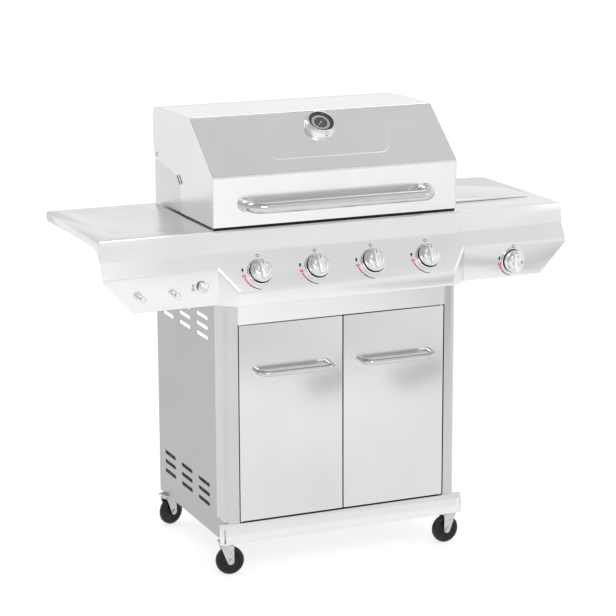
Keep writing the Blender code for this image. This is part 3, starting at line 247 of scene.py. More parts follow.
STEEL = (0.80, 0.80, 0.805)
FAINT_GRAIN = 0.0000015
FINISH = {
    # a lighter copy of the brushed steel for the hood: painted light
    "steel_hood": brushed("brushed_steel_hood_painted_light", (0.88, 0.88, 0.882), 0.20),
    "steel_x": brushed("brushed_steel_across", STEEL, 0.24),
    "steel_door": brushed("brushed_steel_doors", (0.70, 0.695, 0.70), 0.20),
    "steel_y": brushed("brushed_steel_front_to_back", STEEL, 0.24, "Y", FAINT_GRAIN),
    "steel_end": brushed("brushed_steel_ends", (0.76, 0.76, 0.765), 0.22, "Y", FAINT_GRAIN),
    "steel_plate": brushed("plain_steel_plates", (0.66, 0.66, 0.665), 0.26, "Y", FAINT_GRAIN),
    # a darker copy of the brushed steel for the posts: painted shade
    "steel_z": brushed("brushed_steel_upright_painted_shade", (0.57, 0.57, 0.575), 0.26, "Z"),
    # a darker, rougher steel for the side panels: a duller finish, and partly painted shade
    "steel_side": brushed("plain_steel_sides_partly_painted_shade", (0.42, 0.42, 0.425), 0.34, "Z"),
    "steel_inner": brushed("plain_steel_inside", (0.42, 0.42, 0.425), 0.42),
    "heated": heated("heat_tinted_steel", (0.46, 0.455, 0.45)),
    "chrome": polished("chrome", (0.78, 0.785, 0.79)),
    "satin": polished("satin_chrome", (0.72, 0.72, 0.725), 0.20),
    "grip": polished("grip_chrome", (0.86, 0.86, 0.862), 0.24),
    # a darker copy of the chrome for the handles: painted shade for their dark reflections
    "bar": polished("bar_chrome_painted_shade", (0.62, 0.625, 0.63), 0.05),
    "zinc": plated("zinc_plate", (0.62, 0.63, 0.65)),
    "iron": cast("enamelled_cast_iron", (0.030, 0.030, 0.031)),
    "rubber": rubber("black_rubber", (0.007, 0.007, 0.0075)),
    "brass": polished("turned_brass", (0.72, 0.53, 0.24), 0.22),
    "black": ink("black_ink", (0.020, 0.020, 0.022)),
    "red": ink("red_ink", (0.72, 0.012, 0.10)),
    "white": ink("white_ink", (0.75, 0.75, 0.74)),
    # black for the dial's border and the button's stem, and painted shade in gaps, slots and ports
    "gap": ink("black_and_painted_shade", (0.022, 0.022, 0.024)),
    "dial": dial_face("dial_face"),
    "glass": clear_glass("dial_glass"),
}


# ---------------------------------------------------------------- frame nodes

def smoothing():
    """A node group that joins a loaded mesh's split corners and shades it smooth up to SMOOTH_ANGLE."""
    tree = bpy.data.node_groups.new("smooth_by_angle", "GeometryNodeTree")
    tree.interface.new_socket("Geometry", in_out="INPUT", socket_type="NodeSocketGeometry")
    tree.interface.new_socket("Geometry", in_out="OUTPUT", socket_type="NodeSocketGeometry")
    kinds = ("NodeGroupInput", "GeometryNodeRemoveAttribute", "GeometryNodeMergeByDistance",
             "GeometryNodeSetShadeSmooth", "GeometryNodeSetShadeSmooth", "NodeGroupOutput")
    start, normals, merge, faces, edges, end = [tree.nodes.new(kind) for kind in kinds]
    normals.inputs["Name"].default_value = "custom_normal"
    merge.inputs["Distance"].default_value = MERGE_DISTANCE
    faces.domain = "FACE"
    edges.domain = "EDGE"
    edges.inputs["Shade Smooth"].default_value = False
    angle = tree.nodes.new("GeometryNodeInputMeshEdgeAngle")
    sharp = tree.nodes.new("FunctionNodeCompare")
    sharp.operation = "GREATER_THAN"
    sharp.inputs["B"].default_value = math.radians(SMOOTH_ANGLE)
    tree.links.new(angle.outputs["Unsigned Angle"], sharp.inputs["A"])
    tree.links.new(sharp.outputs["Result"], edges.inputs["Selection"])
    chain = (start, normals, merge, faces, edges, end)
    for before, after in zip(chain, chain[1:]):
        tree.links.new(before.outputs["Geometry"], after.inputs["Geometry"])
    return tree


NODE_FINISH = {
    "steel_hood": ["hood_shell"],
    "steel_x": ["control_panel", "front_fascia", "base_frame"],
    "steel_door": ["door_left", "door_right"],
    "steel_y": ["shelf_left", "shelf_right", "side_burner_lid"],
    "steel_end": ["hood_end_left", "hood_end_right"],
    "steel_plate": ["hinge_plate_left", "hinge_plate_right"],
    "steel_z": ["front_post_left", "front_post_right"],
    "steel_side": ["side_panel_left", "side_panel_right"],
    "steel_inner": ["back_panel", "grease_tray", "grease_cup"],
    "heated": ["firebox"] + [f"{kind}_{i}" for kind in ("burner", "heat_tent") for i in range(1, 5)],
    "chrome": ["warming_rack"],
    "bar": ["hood_handle", "door_handle_left", "door_handle_right"],
    "zinc": [f"caster_fork_{corner}" for corner in CORNERS],
    "iron": ["side_burner", "pan_support", "cooking_grate_left", "cooking_grate_right"],
    "brass": ["gas_manifold"],
}


def finish_nodes():
    group = smoothing()
    for finish, names in NODE_FINISH.items():
        for name in names:
            node = frame["nodes"][name]
            node.data.materials.clear()
            node.data.materials.append(FINISH[finish])
            node.modifiers.new("smooth", "NODES").node_group = group


def flat_face(name, toward):
    """(middle, normal) of a node's largest flat face that looks roughly along toward."""
    mesh = frame["nodes"][name].data
    areas, middles = {}, {}
    for face in mesh.polygons:
        if face.normal.dot(Vector(toward).normalized()) < 0.5:
            continue
        key = tuple(round(c, 2) for c in face.normal) + (round(face.normal.dot(face.center), 3),)
        areas[key] = areas.get(key, 0.0) + face.area
        middles[key] = middles.get(key, Vector()) + face.center * face.area
    best = max(areas, key=areas.get)
    return middles[best] / areas[best], Vector(best[:3]).normalized()


# ---------------------------------------------------------------- mesh tools

def axes_at(place, normal, across=X_AXIS):
    """A matrix whose Z is the normal and whose X lies as near as it can to across."""
    z = Vector(normal).normalized()
    x = (Vector(across) - z * z.dot(across)).normalized()
    y = z.cross(x)
    return Matrix.Translation(place) @ Matrix((x, y, z)).transposed().to_4x4()


def piece(name, bm, finish, body, matrix=None, angle=SMOOTH_ANGLE):
    """The mesh as a shown piece that rides on a body."""
    if matrix is not None:
        bm.transform(matrix)
    bmesh.ops.recalc_face_normals(bm, faces=bm.faces)
    mesh = bpy.data.meshes.new(name)
    bm.to_mesh(mesh)
    bm.free()
    mesh.shade_smooth()
    mesh.set_sharp_from_angle(angle=math.radians(angle))
    mesh.materials.append(FINISH[finish])
    made = bpy.data.objects.new(name, mesh)
    bpy.context.scene.collection.objects.link(made)
    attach(made, body)
    return made


def turned(profile, sides=48, ring=False, into=None, matrix=None):
    """A solid turned about Z from (radius, height) pairs; a ring's profile closes on itself."""
    bm = into or bmesh.new()
    loops = []
    for radius, height in profile:
        count = sides if radius > 1e-7 else 1
        angles = [2 * math.pi * k / sides for k in range(count)]
        points = [Vector((radius * math.cos(a), radius * math.sin(a), height)) for a in angles]
        loops.append([bm.verts.new(matrix @ p if matrix else p) for p in points])
    pairs = list(zip(loops, loops[1:])) + ([(loops[-1], loops[0])] if ring else [])
    for lower, upper in pairs:
        for k in range(sides):
            corners = [lower[k % len(lower)], lower[(k + 1) % len(lower)]]
            corners += [upper[(k + 1) % len(upper)], upper[k % len(upper)]]
            bm.faces.new(list(dict.fromkeys(corners)))
    return bm


def slab(outline, low, high, chamfer=0.0, into=None, matrix=None):
    """A flat piece from an outline in its own XY, with its upper edge chamfered."""
    bm = into or bmesh.new()
    middle = sum((Vector(p) for p in outline), Vector((0, 0))) / len(outline)
    levels = [(0.0, low), (0.0, high - chamfer)]
    if chamfer:
        levels.append((chamfer, high))
    loops = []
    for inset, height in levels:
        points = []
        for i, point in enumerate(outline):
            point = Vector(point)
            before = (point - Vector(outline[i - 1])).normalized()
            after = (Vector(outline[(i + 1) % len(outline)]) - point).normalized()
            inward = Vector((-before.y, before.x)) + Vector((-after.y, after.x))
            if inward.dot(middle - point) < 0:
                inward = -inward
            shift = inward.normalized() * inset if inward.length > 1e-9 else Vector((0, 0))
            points.append(Vector((*(point + shift), height)))
        loops.append([bm.verts.new(matrix @ p if matrix else p) for p in points])
    for lower, upper in zip(loops, loops[1:]):
        for k in range(len(outline)):
            following = (k + 1) % len(outline)
            bm.faces.new([lower[k], lower[following], upper[following], upper[k]])
    bm.faces.new(loops[-1])
    bm.faces.new(loops[0][::-1])
    return bm


def strip(inner, outer, low, high, into, matrix):
    """A closed ring or an open band between two outlines of the same count, with a small thickness."""
    rows = []
    for a, b in zip(inner, outer):
        row = [(*a, low), (*b, low), (*b, high), (*a, high)]
        rows.append([into.verts.new(matrix @ Vector(p)) for p in row])
    for first, second in zip(rows, rows[1:]):
        for k in range(4):
            following = (k + 1) % 4
            into.faces.new([first[k], first[following], second[following], second[k]])
    into.faces.new(rows[0])
    into.faces.new(rows[-1][::-1])


def around(radius, start, end, steps, centre=(0, 0)):
    """Points on an arc, angles in degrees."""
    found = []
    for i in range(steps + 1):
        angle = math.radians(start + (end - start) * i / steps)
        found.append((centre[0] + radius * math.cos(angle), centre[1] + radius * math.sin(angle)))
    return found


def rounded(half_x, half_y, radius, steps=6):
    """A rectangle's outline with rounded corners."""
    outline = []
    for k, (sx, sy) in enumerate(((1, 1), (-1, 1), (-1, -1), (1, -1))):
        centre = (sx * (half_x - radius), sy * (half_y - radius))
        outline += around(radius, 90 * k, 90 * k + 90, steps, centre)
    return outline


def screw(bm, place, normal, radius=SCREW_RADIUS):
    """A pan-head screw with a round recess in its head."""
    matrix = axes_at(place, normal)
    rise = radius * 0.55
    turned([(0, 0), (radius, 0), (radius, rise * 0.35), (radius * 0.82, rise * 0.8), (radius * 0.5, rise),
            (radius * 0.42, rise * 0.55), (0, rise * 0.45)], 20, into=bm, matrix=matrix)


# ---------------------------------------------------------------- controls

def knob(word):
    """A spun skirt and dial, a rounded grip bar across it, and its pointer line."""
    joint = JOINTS[f"knob_{word}_turn"]
    matrix = axes_at(joint["pos_m"], joint["axis"])
    body = f"knob_{word}"
    dial = turned([
        (0, 0.0066), (0.0284, 0.0066), (0.0296, 0.0072), (0.0300, 0.0084), (0.0300, 0.0122),
        (0.0295, 0.0133), (0.0284, 0.0139), (0.0268, 0.0144), (0.0256, 0.0156), (0.0249, 0.0175),
        (0.0238, 0.0222), (0.0229, 0.0240), (0.0212, 0.0252), (0.0180, 0.0259), (0.0100, 0.0265),
        (0, 0.0267),
    ], 64)
    shown = piece(f"knob_dial_{word}", dial, "chrome", body, matrix)
    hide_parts(f"knob_{word}")
    half_width = 0.0092 if word != "side_burner" else 0.0100
    grip = bmesh.new()
    levels = [(0.0, 0.0150), (0.0, 0.0285), (0.0006, 0.0306), (0.0018, 0.0321), (0.0034, 0.0329)]
    loops = []
    for inset, height in levels:
        width = half_width - inset
        outline = rounded(width, 0.0262 - inset, max(width - 0.0006, 0.001), 8)
        loops.append([grip.verts.new((*point, height)) for point in outline])
    for lower, upper in zip(loops, loops[1:]):
        for k in range(len(lower)):
            following = (k + 1) % len(lower)
            grip.faces.new([lower[k], lower[following], upper[following], upper[k]])
    grip.faces.new(loops[-1])
    grip.faces.new(loops[0][::-1])
    piece(f"knob_grip_{word}", grip, "grip", body, matrix, 40)
    forward = Matrix.Translation((0, 0.0165, 0))
    line = slab(rounded(0.0006, 0.0050, 0.0005, 3), 0.0327, 0.03300, matrix=forward)
    piece(f"knob_pointer_{word}", line, "black", body, matrix)


def bezel(word):
    """A bright pressed ring round the knob, with a dark ring inside it: painted shade between the knob and
    the bezel.
    """
    joint = JOINTS[f"knob_{word}_turn"]
    matrix = axes_at(joint["pos_m"], joint["axis"])
    ring = turned([
        (0.0310, 0.0003), (0.0360, 0.0003), (0.0360, 0.0016), (0.0356, 0.0030), (0.0348, 0.0043),
        (0.0338, 0.0051), (0.0328, 0.0054), (0.0318, 0.0051), (0.0311, 0.0042), (0.0309, 0.0020),
    ], 64, ring=True)
    shown = piece(f"bezel_ring_{word}", ring, "chrome", "frame", matrix)
    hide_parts(f"bezel_{word}")
    # painted shade: a dark ring between the knob and the bezel
    shade_ring = turned([(0.0225, 0.0003), (0.0307, 0.0003), (0.0307, 0.0014), (0.0225, 0.0010)], 48, ring=True)
    piece(f"bezel_shade_{word}", shade_ring, "gap", "frame", matrix)


def tapered_arc(bm, matrix, radius, start, end, wide, narrow):
    """A band along an arc whose width falls from wide to narrow."""
    steps = 14
    inner, outer = [], []
    for i in range(steps + 1):
        share = i / steps
        half = (wide + (narrow - wide) * share) / 2
        angle = math.radians(start + (end - start) * share)
        for side, found in ((-half, inner), (half, outer)):
            found.append(((radius + side) * math.cos(angle), (radius + side) * math.sin(angle)))
    strip(inner, outer, INK_LIFT, 2 * INK_LIFT, bm, matrix)


def printed_ring(bm, matrix, inner, outer, start=90, steps=24, turn=360):
    strip(around(inner, start, start + turn, steps), around(outer, start, start + turn, steps),
          INK_LIFT, 2 * INK_LIFT, bm, matrix)


def ignition_mark(bm):
    """Two small rings on two feet, printed beside the button."""
    low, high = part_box("ignition_button")
    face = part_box("shelf_left")[0].y
    place = Vector((low.x - IGNITION_MARK_GAP, face, (low.z + high.z) / 2))
    icon = axes_at(place, -Y_AXIS)
    ring_up, foot_across, foot_down = 0.0042, 0.0036, 0.0086
    for up in (-ring_up, ring_up):
        printed_ring(bm, icon @ Matrix.Translation((0, up, 0)), 0.0022, 0.0034, steps=20)
    for across in (-foot_across, foot_across):
        spot = icon @ Matrix.Translation((across, -foot_down, 0))
        slab(rounded(0.0007, 0.0016, 0.0004, 2), INK_LIFT, 2 * INK_LIFT, into=bm, matrix=spot)


def control_marks():
    """Printed beside each knob: off ring, spark, flame and the arc from high to low."""
    black, red = bmesh.new(), bmesh.new()
    spark = [(-0.0020, 0.0064), (0.0032, 0.0064), (0.0016, 0.0018), (0.0036, 0.0018),
             (-0.0022, -0.0064), (-0.0004, -0.0012), (-0.0034, -0.0012)]
    for word in KNOBS:
        joint = JOINTS[f"knob_{word}_turn"]
        matrix = axes_at(joint["pos_m"], joint["axis"])
        scale = 1.0 if word != "side_burner" else SIDE_MARK_SCALE
        reach = MARK_REACH * scale
        off = matrix @ Matrix.Translation((0.0015, OFF_MARK_UP * scale, 0))
        printed_ring(black, off, 0.0030, 0.0043)
        slab(spark, INK_LIFT, 2 * INK_LIFT, into=black,
             matrix=matrix @ Matrix.Translation((-reach, 0.0075, 0)))
        flame = matrix @ Matrix.Translation((-reach + 0.0005, -0.0065, 0))
        printed_ring(red, flame, 0.0020, 0.0046, 110, 22, 320)
        tapered_arc(red, matrix, reach, 196, 220, 0.0032, 0.0030)
        tapered_arc(black, matrix, reach, 221, 262, 0.0030, 0.0012)
    ignition_mark(black)
    piece("control_marks_black", black, "black", "frame")
    piece("control_marks_red", red, "red", "frame")


def ignition_button():
    """A dished cap, and the dark stem behind it that leaves room for the travel."""
    joint = JOINTS["ignition_press"]
    low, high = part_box("ignition_button")
    place = Vector(((low.x + high.x) / 2, low.y, (low.z + high.z) / 2))
    matrix = axes_at(place, -Y_AXIS)
    radius = (high.x - low.x) / 2
    cap = turned([
        (0, -0.0100), (radius - 0.0008, -0.0100), (radius, -0.0094), (radius, -0.0042),
        (radius - 0.0006, -0.0030), (radius - 0.0018, -0.0018), (radius - 0.0036, -0.0009),
        (radius - 0.0060, -0.0012), (radius - 0.0080, -0.0020), (0, -0.0024),
    ], 48)
    shown = piece("ignition_button_cap", cap, "chrome", "ignition_button", matrix)
    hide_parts("ignition_button")
    stem_radius, stem_back = 0.0064, -0.0240
    stem_front = -joint["range_m"][1] - 0.0058
    stem = turned([(0, stem_back), (stem_radius, stem_back), (stem_radius, stem_front), (0, stem_front)], 24)
    piece("ignition_button_stem", stem, "gap", "ignition_button", matrix)


def tool_pegs():
    """Two turned pegs: a flange, a waist and a round head."""
    for number in (1, 2):
        name = f"tool_peg_{number}"
        low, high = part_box(name)
        place = Vector(((low.x + high.x) / 2, high.y, (low.z + high.z) / 2))
        peg = turned([
            (0, 0), (0.0090, 0), (0.0090, 0.0022), (0.0078, 0.0034), (0.0052, 0.0046), (0.0045, 0.0065),
            (0.0045, 0.0168), (0.0056, 0.0190), (0.0076, 0.0202), (0.0087, 0.0216), (0.0089, 0.0238),
            (0.0083, 0.0258), (0.0066, 0.0273), (0.0036, 0.0280), (0, 0.0281),
        ], 40)
        shown = piece(f"{name}_turned", peg, "chrome", "frame", axes_at(place, -Y_AXIS))
        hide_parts(name)


# ---------------------------------------------------------------- hood

def thermometer():
    """Case, dial with ticks and a needle, and the glass over it."""
    middle, normal = flat_face("thermometer", (0, -0.6, 0.8))
    matrix = axes_at(middle, normal)
    rim, depth = 0.0370, 0.0190
    case = turned([
        (0, -depth), (0.0424, -depth), (0.0430, -depth + 0.0010), (0.0430, -depth + 0.0036),
        (0.0424, -depth + 0.0052), (0.0400, -depth + 0.0080), (0.0382, -0.0070), (0.0374, -0.0040),
        (rim, -0.0010), (rim, 0.0018), (rim - 0.0006, 0.0027), (rim - 0.0016, 0.0030),
        (rim - 0.0028, 0.0026), (rim - 0.0034, 0.0014), (rim - 0.0036, -0.0050), (0, -0.0050),
    ], 72)
    shown = piece("thermometer_case", case, "chrome", "hood", matrix)
    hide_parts("thermometer")
    inner = rim - 0.0040
    face = turned([(0, -0.0048), (inner, -0.0048), (inner, -0.0044), (0, -0.0042)], 64)
    piece("thermometer_dial", face, "dial", "hood", matrix)
    border = turned([(inner - 0.0062, -0.0040), (inner, -0.0040), (inner, -0.0012),
                     (inner - 0.0012, -0.0012)], 64, True)
    piece("thermometer_border", border, "gap", "hood", matrix)
    band_in, band_out = inner * 0.55, inner * 0.74
    band = [(band_in, -0.0043), (band_out, -0.0043), (band_out, -0.0040), (band_in, -0.0040)]
    scale = turned(band, 64, ring=True)
    piece("thermometer_scale", scale, "satin", "hood", matrix)
    ticks = bmesh.new()
    spaces, first, sweep = 20, 225, 270
    for k in range(spaces + 1):
        angle = math.radians(first - sweep * k / spaces)
        long = 0.0046 if k % 5 == 0 else 0.0026
        spot = Matrix.Rotation(angle, 4, "Z") @ Matrix.Translation((inner - 0.0075 - long / 2, 0, 0))
        slab(rounded(long / 2, 0.00045, 0.0003, 2), -0.0041, -0.0038, into=ticks, matrix=spot)
    piece("thermometer_ticks", ticks, "white", "hood", matrix)
    needle = slab([(-0.0050, -0.0012), (0.0180, -0.0004), (0.0180, 0.0004), (-0.0050, 0.0012)],
                  -0.0034, -0.0028, matrix=Matrix.Rotation(math.radians(first), 4, "Z"))
    hub = [(0, -0.0038), (0.0024, -0.0038), (0.0024, -0.0026), (0.0016, -0.0022), (0, -0.0022)]
    turned(hub, 20, into=needle)
    piece("thermometer_needle", needle, "white", "hood", matrix)
    glass = turned([(0, -0.0010), (inner, -0.0010), (inner, -0.0002), (0.0200, 0.0010), (0, 0.0016)], 64)
    piece("thermometer_glass", glass, "glass", "hood", matrix)


def hood_emboss():
    """The shallow pressed field on the hood's slope: narrower at its foot, with clipped lower corners."""
    middle, normal = flat_face("hood_shell", (0, -0.6, 0.8))
    matrix = axes_at(Vector((0, middle.y, middle.z)), normal)
    foot, clipped, top = (0.1530, -0.0580), (0.1720, -0.0430), (0.2060, 0.0790)
    right = [foot, clipped, top]
    left = [(-x, up) for x, up in (foot, top, clipped)]
    field = slab(left[:1] + right + left[1:], -0.0003, 0.0015, 0.0022)
    piece("hood_pressed_field", field, "steel_hood", "hood", matrix)


def fold_bead(name, corner, before, after, half):
    """A rounded skin over a sharp fold along X; before and after point away from it along its faces."""
    steps = 8
    outward = -(before + after).normalized()
    first, last = corner + before * FOLD_REACH, corner + after * FOLD_REACH
    peak = corner + outward * FOLD_LIFT
    points = []
    for i in range(steps + 1):
        t = i / steps
        points.append(first * (1 - t) ** 2 + corner * 2 * t * (1 - t) + last * t ** 2)
    shift = (peak - points[steps // 2]).dot(outward)
    bm = bmesh.new()
    rows = []
    for x in (-half, half):
        outer = [bm.verts.new(Vector((x, p.y, p.z)) + outward * shift) for p in points]
        inner = [bm.verts.new(Vector((x, p.y, p.z)) - outward * FOLD_REACH * 0.2) for p in points]
        rows.append(outer + inner[::-1])
    for k in range(len(rows[0])):
        following = (k + 1) % len(rows[0])
        bm.faces.new([rows[0][k], rows[0][following], rows[1][following], rows[1][k]])
    bm.faces.new(rows[0])
    bm.faces.new(rows[1][::-1])
    piece(name, bm, "chrome", "hood", angle=60)


def hood_folds():
    """The rounded folds at the slope's top and foot, and a dark block under the hood's front: painted shade
    in the gap there.
    """
    low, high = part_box("hood_shell")
    middle, normal = flat_face("hood_shell", (0, -0.6, 0.8))
    down = Vector((0, -normal.z, normal.y)).normalized()
    foot = middle + down * ((low.y - middle.y) / down.y)
    ridge = middle + down * ((high.z - middle.z) / down.z)
    half = high.x - 0.0006
    fold_bead("hood_fold_ridge", Vector((0, ridge.y, ridge.z)), down, Y_AXIS, half)
    fold_bead("hood_fold_foot", Vector((0, foot.y, foot.z)), -Z_AXIS, -down, half)
    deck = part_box("shelf_left")[1].z
    # painted shade: a dark block in the gap under the hood's front
    shade_block = bmesh.new()
    bmesh.ops.create_cube(shade_block, size=1.0)
    bottom = deck + HOOD_SHADE_CLEARANCE
    size = Vector((2 * (half - 0.0020), HOOD_SHADE_DEPTH, low.z - bottom))
    middle = Vector((0, low.y + 0.0002 + HOOD_SHADE_DEPTH / 2, (low.z + bottom) / 2))
    piece("hood_gap_shade", shade_block, "gap", "hood", Matrix.LocRotScale(middle, None, size))


def hood_handle_seats():
    """A thin dished washer behind each end of the hood's handle."""
    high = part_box("hood_handle")[1]
    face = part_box("hood_shell")[0].y
    profile = [(0.0150, -0.0061), (0.0174, -0.0061), (0.0184, -0.0052), (0.0184, -0.0050),
               (0.0150, -0.0050)]
    for side, word in ((-1, "left"), (1, "right")):
        place = Vector((side * (high.x - HANDLE_BOSS), face, high.z - HANDLE_BOSS))
        washer = turned(profile, 48, ring=True)
        piece(f"hood_handle_collar_{word}", washer, "satin", "hood", axes_at(place, Y_AXIS))


def outer_x(name, side):
    """The X of a node's side away from the middle, where side is -1 or 1."""
    low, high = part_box(name)
    return low.x if side < 0 else high.x


def hood_ends():
    """Screws on each fixed plate, and on each end of the hood a thin dark slab for the stay's slot: painted
    shade of the opening.
    """
    screw_spots = ((0.0345, 0.9900), (0.0275, 0.9570), (0.2000, 0.9500))
    slot_y, slot_z = 0.0500, 1.0190
    slot_along = Y_AXIS + Z_AXIS
    for side, word in ((-1, "left"), (1, "right")):
        outward = X_AXIS * side
        fixed = bmesh.new()
        for y, z in screw_spots:
            place = Vector((outer_x(f"hinge_plate_{word}", side), y, z))
            screw(fixed, place, outward, PLATE_SCREW_RADIUS)
        piece(f"hinge_plate_screws_{word}", fixed, "zinc", "frame")
        # painted shade: a thin dark slab stands for the slot's shaded opening
        slot = slab(rounded(0.0155, 0.0030, 0.0022, 4), 0.0, 0.0004)
        place = Vector((outer_x(f"hood_end_{word}", side), slot_y, slot_z))
        spot = axes_at(place, outward, slot_along)
        piece(f"hood_end_slot_shade_{word}", slot, "gap", "hood", spot)


# ---------------------------------------------------------------- screws, burners, casters

def frame_screws():
    """Screws on the back panel and the two side panels."""
    heads = bmesh.new()
    back_low, back_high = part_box("back_panel")
    for x in (back_low.x + 0.012, 0, back_high.x - 0.012):
        for z in (back_low.z + 0.030, (back_low.z + back_high.z) / 2, back_high.z - 0.030):
            screw(heads, Vector((x, back_high.y, z)), Y_AXIS, BACK_SCREW_RADIUS)
    for side, word in ((-1, "left"), (1, "right")):
        low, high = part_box(f"side_panel_{word}")
        for y in (low.y + 0.020, high.y - 0.012):
            for z in (low.z + 0.012, high.z - 0.100):
                screw(heads, Vector((outer_x(f"side_panel_{word}", side), y, z)), X_AXIS * side)
    piece("frame_screws", heads, "zinc", "frame")


def door_gap_shade():
    """Black strips in the gaps above and below the doors: painted shade, where the gaps are only shaded."""
    low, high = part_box("door_left")
    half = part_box("door_right")[1].x
    depth, recess, lower_height = 0.0080, 0.0012, 0.0020
    above = (high.z + DOOR_SHADE_CLEARANCE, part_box("front_fascia")[0].z - DOOR_SHADE_CLEARANCE)
    below = (low.z - lower_height, low.z - DOOR_SHADE_CLEARANCE)
    # painted shade: dark strips that stand for the shade in the door gaps
    shade_strips = bmesh.new()
    for bottom, top in (above, below):
        size = Vector((2 * half, depth, top - bottom))
        middle = Vector((0, low.y + recess + depth / 2, (bottom + top) / 2))
        bmesh.ops.create_cube(shade_strips, size=1.0, matrix=Matrix.LocRotScale(middle, None, size))
    piece("door_gap_shade", shade_strips, "gap", "frame")


def burner_ports():
    """Two rows of flame ports along each burner, drawn as dark discs that are painted shade in the holes,
    and one ring of them round the side burner.
    """
    ports = bmesh.new()
    count, port_lean, crown_count = 22, 38, 30
    for number in range(1, 5):
        low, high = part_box(f"burner_{number}")
        x, z = (low.x + high.x) / 2, (low.z + high.z) / 2
        radius = (high.x - low.x) / 2
        first, last = low.y + 0.085, high.y - 0.014
        for side in (-1, 1):
            lean = math.radians(port_lean) * side
            normal = Vector((math.sin(lean), 0, math.cos(lean)))
            for k in range(count):
                y = first + (last - first) * k / (count - 1)
                matrix = axes_at(Vector((x, y, z)) + normal * radius * 0.985, normal)
                # the ports are dark discs: painted shade in the holes
                port = [(0, 0), (PORT_RADIUS, 0), (PORT_RADIUS, 0.0004), (0, 0.0004)]
                turned(port, 8, into=ports, matrix=matrix)
    piece("burner_ports", ports, "gap", "frame")
    low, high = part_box("side_burner")
    centre = Vector(((low.x + high.x) / 2, high.y - 0.0430, high.z - 0.0100))
    crown = bmesh.new()
    for k in range(crown_count):
        angle = 2 * math.pi * k / crown_count
        spoke = Vector((math.cos(angle), math.sin(angle), 0))
        outward = (spoke + Z_AXIS * 0.25).normalized()
        matrix = axes_at(centre + spoke * 0.0428, outward, Z_AXIS)
        slab(rounded(0.0020, 0.0008, 0.0006, 2), -0.0005, 0.0006, into=crown, matrix=matrix)
    piece("side_burner_ports", crown, "brass", "frame")


def wheel(corner):
    """A tyre with a rounded tread, a dished and ribbed hub, and the axle's nuts on the fork."""
    joint = JOINTS[f"{corner}_spin"]
    matrix = axes_at(joint["pos_m"], joint["axis"], Z_AXIS)
    low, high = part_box(f"wheel_{corner}")
    r = (high.z - low.z) / 2
    half = WHEEL_HALF
    side_profile = [
        (0.0046, half + 0.0011), (0.0104, half + 0.0011), (0.0114, half + 0.0004),
        (0.0122, half - 0.0030), (0.0140, half - 0.0036), (r - 0.0150, half - 0.0036),
        (r - 0.0125, half - 0.0022), (r - 0.0105, half - 0.0002), (r - 0.0080, half),
        (r - 0.0046, half - 0.0004), (r - 0.0018, half - 0.0018), (r - 0.0004, half - 0.0044),
        (r, half - 0.0070),
    ]
    profile = [(radius, -height) for radius, height in side_profile] + side_profile[::-1]
    tyre = turned(profile, 64, ring=True)
    shown = piece(f"wheel_tyre_{corner}", tyre, "rubber", f"wheel_{corner}", matrix)
    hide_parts(f"wheel_{corner}")
    spokes = bmesh.new()
    for k in range(6):
        turn = Matrix.Rotation(math.radians(60 * k), 4, "Z")
        for side in (1, -1):
            flip = Matrix.Diagonal((1, 1, side, 1))
            slab(rounded(0.0052, 0.0012, 0.0010, 3), half - 0.0040, half - 0.0020, 0.0005, spokes,
                 turn @ flip @ Matrix.Translation((0.0174, 0, 0)))
    piece(f"wheel_ribs_{corner}", spokes, "rubber", f"wheel_{corner}", matrix)
    nuts = bmesh.new()
    washer_top, nut_top = FORK_FACE + 0.0010, FORK_FACE + 0.0048
    washer = [(0.0040, FORK_FACE), (0.0075, FORK_FACE), (0.0075, washer_top), (0.0040, washer_top)]
    for side in (1, -1):
        flip = Matrix.Diagonal((1, 1, side, 1))
        turned(washer, 24, True, nuts, flip)
        slab(around(0.0062, 0, 300, 5), washer_top, nut_top, 0.0007, nuts, flip)
    piece(f"caster_nuts_{corner}", nuts, "zinc", f"fork_{corner}", matrix)


def caster_races():
    """The swivel's ball race under each mounting plate."""
    for corner in CORNERS:
        joint = JOINTS[f"{corner}_swivel"]
        place = Vector(joint["pos_m"])
        turn = axes_at(place, Z_AXIS, JOINTS[f"{corner}_spin"]["axis"])
        race = turned([
            (0.0150, -0.0085), (0.0178, -0.0085), (0.0192, -0.0078), (0.0199, -0.0064), (0.0199, -0.0048),
            (0.0192, -0.0034), (0.0178, -0.0027), (0.0150, -0.0027),
        ], 48, ring=True)
        piece(f"caster_race_{corner}", race, "zinc", f"fork_{corner}", turn)


# ---------------------------------------------------------------- studio

def sheet(name, low, high, height, material):
    """A flat rectangle of the studio, from its low to its high corner."""
    bm = bmesh.new()
    corners = [(low[0], low[1]), (high[0], low[1]), (high[0], high[1]), (low[0], high[1])]
    bm.faces.new([bm.verts.new((x, y, height)) for x, y in corners])
    mesh = bpy.data.meshes.new(name)
    bm.to_mesh(mesh)
    bm.free()
    mesh.materials.append(material)
    made = bpy.data.objects.new(name, mesh)
    bpy.context.scene.collection.objects.link(made)
    return made


def softbox(name, place, aim, size, power):
    lamp = bpy.data.lights.new(name, "AREA")
    lamp.shape = "RECTANGLE"
    lamp.size, lamp.size_y = size
    lamp.energy = power
    made = bpy.data.objects.new(name, lamp)
    bpy.context.scene.collection.objects.link(made)
    made.location = place
    made.rotation_euler = (Vector(aim) - Vector(place)).to_track_quat("-Z", "Y").to_euler()


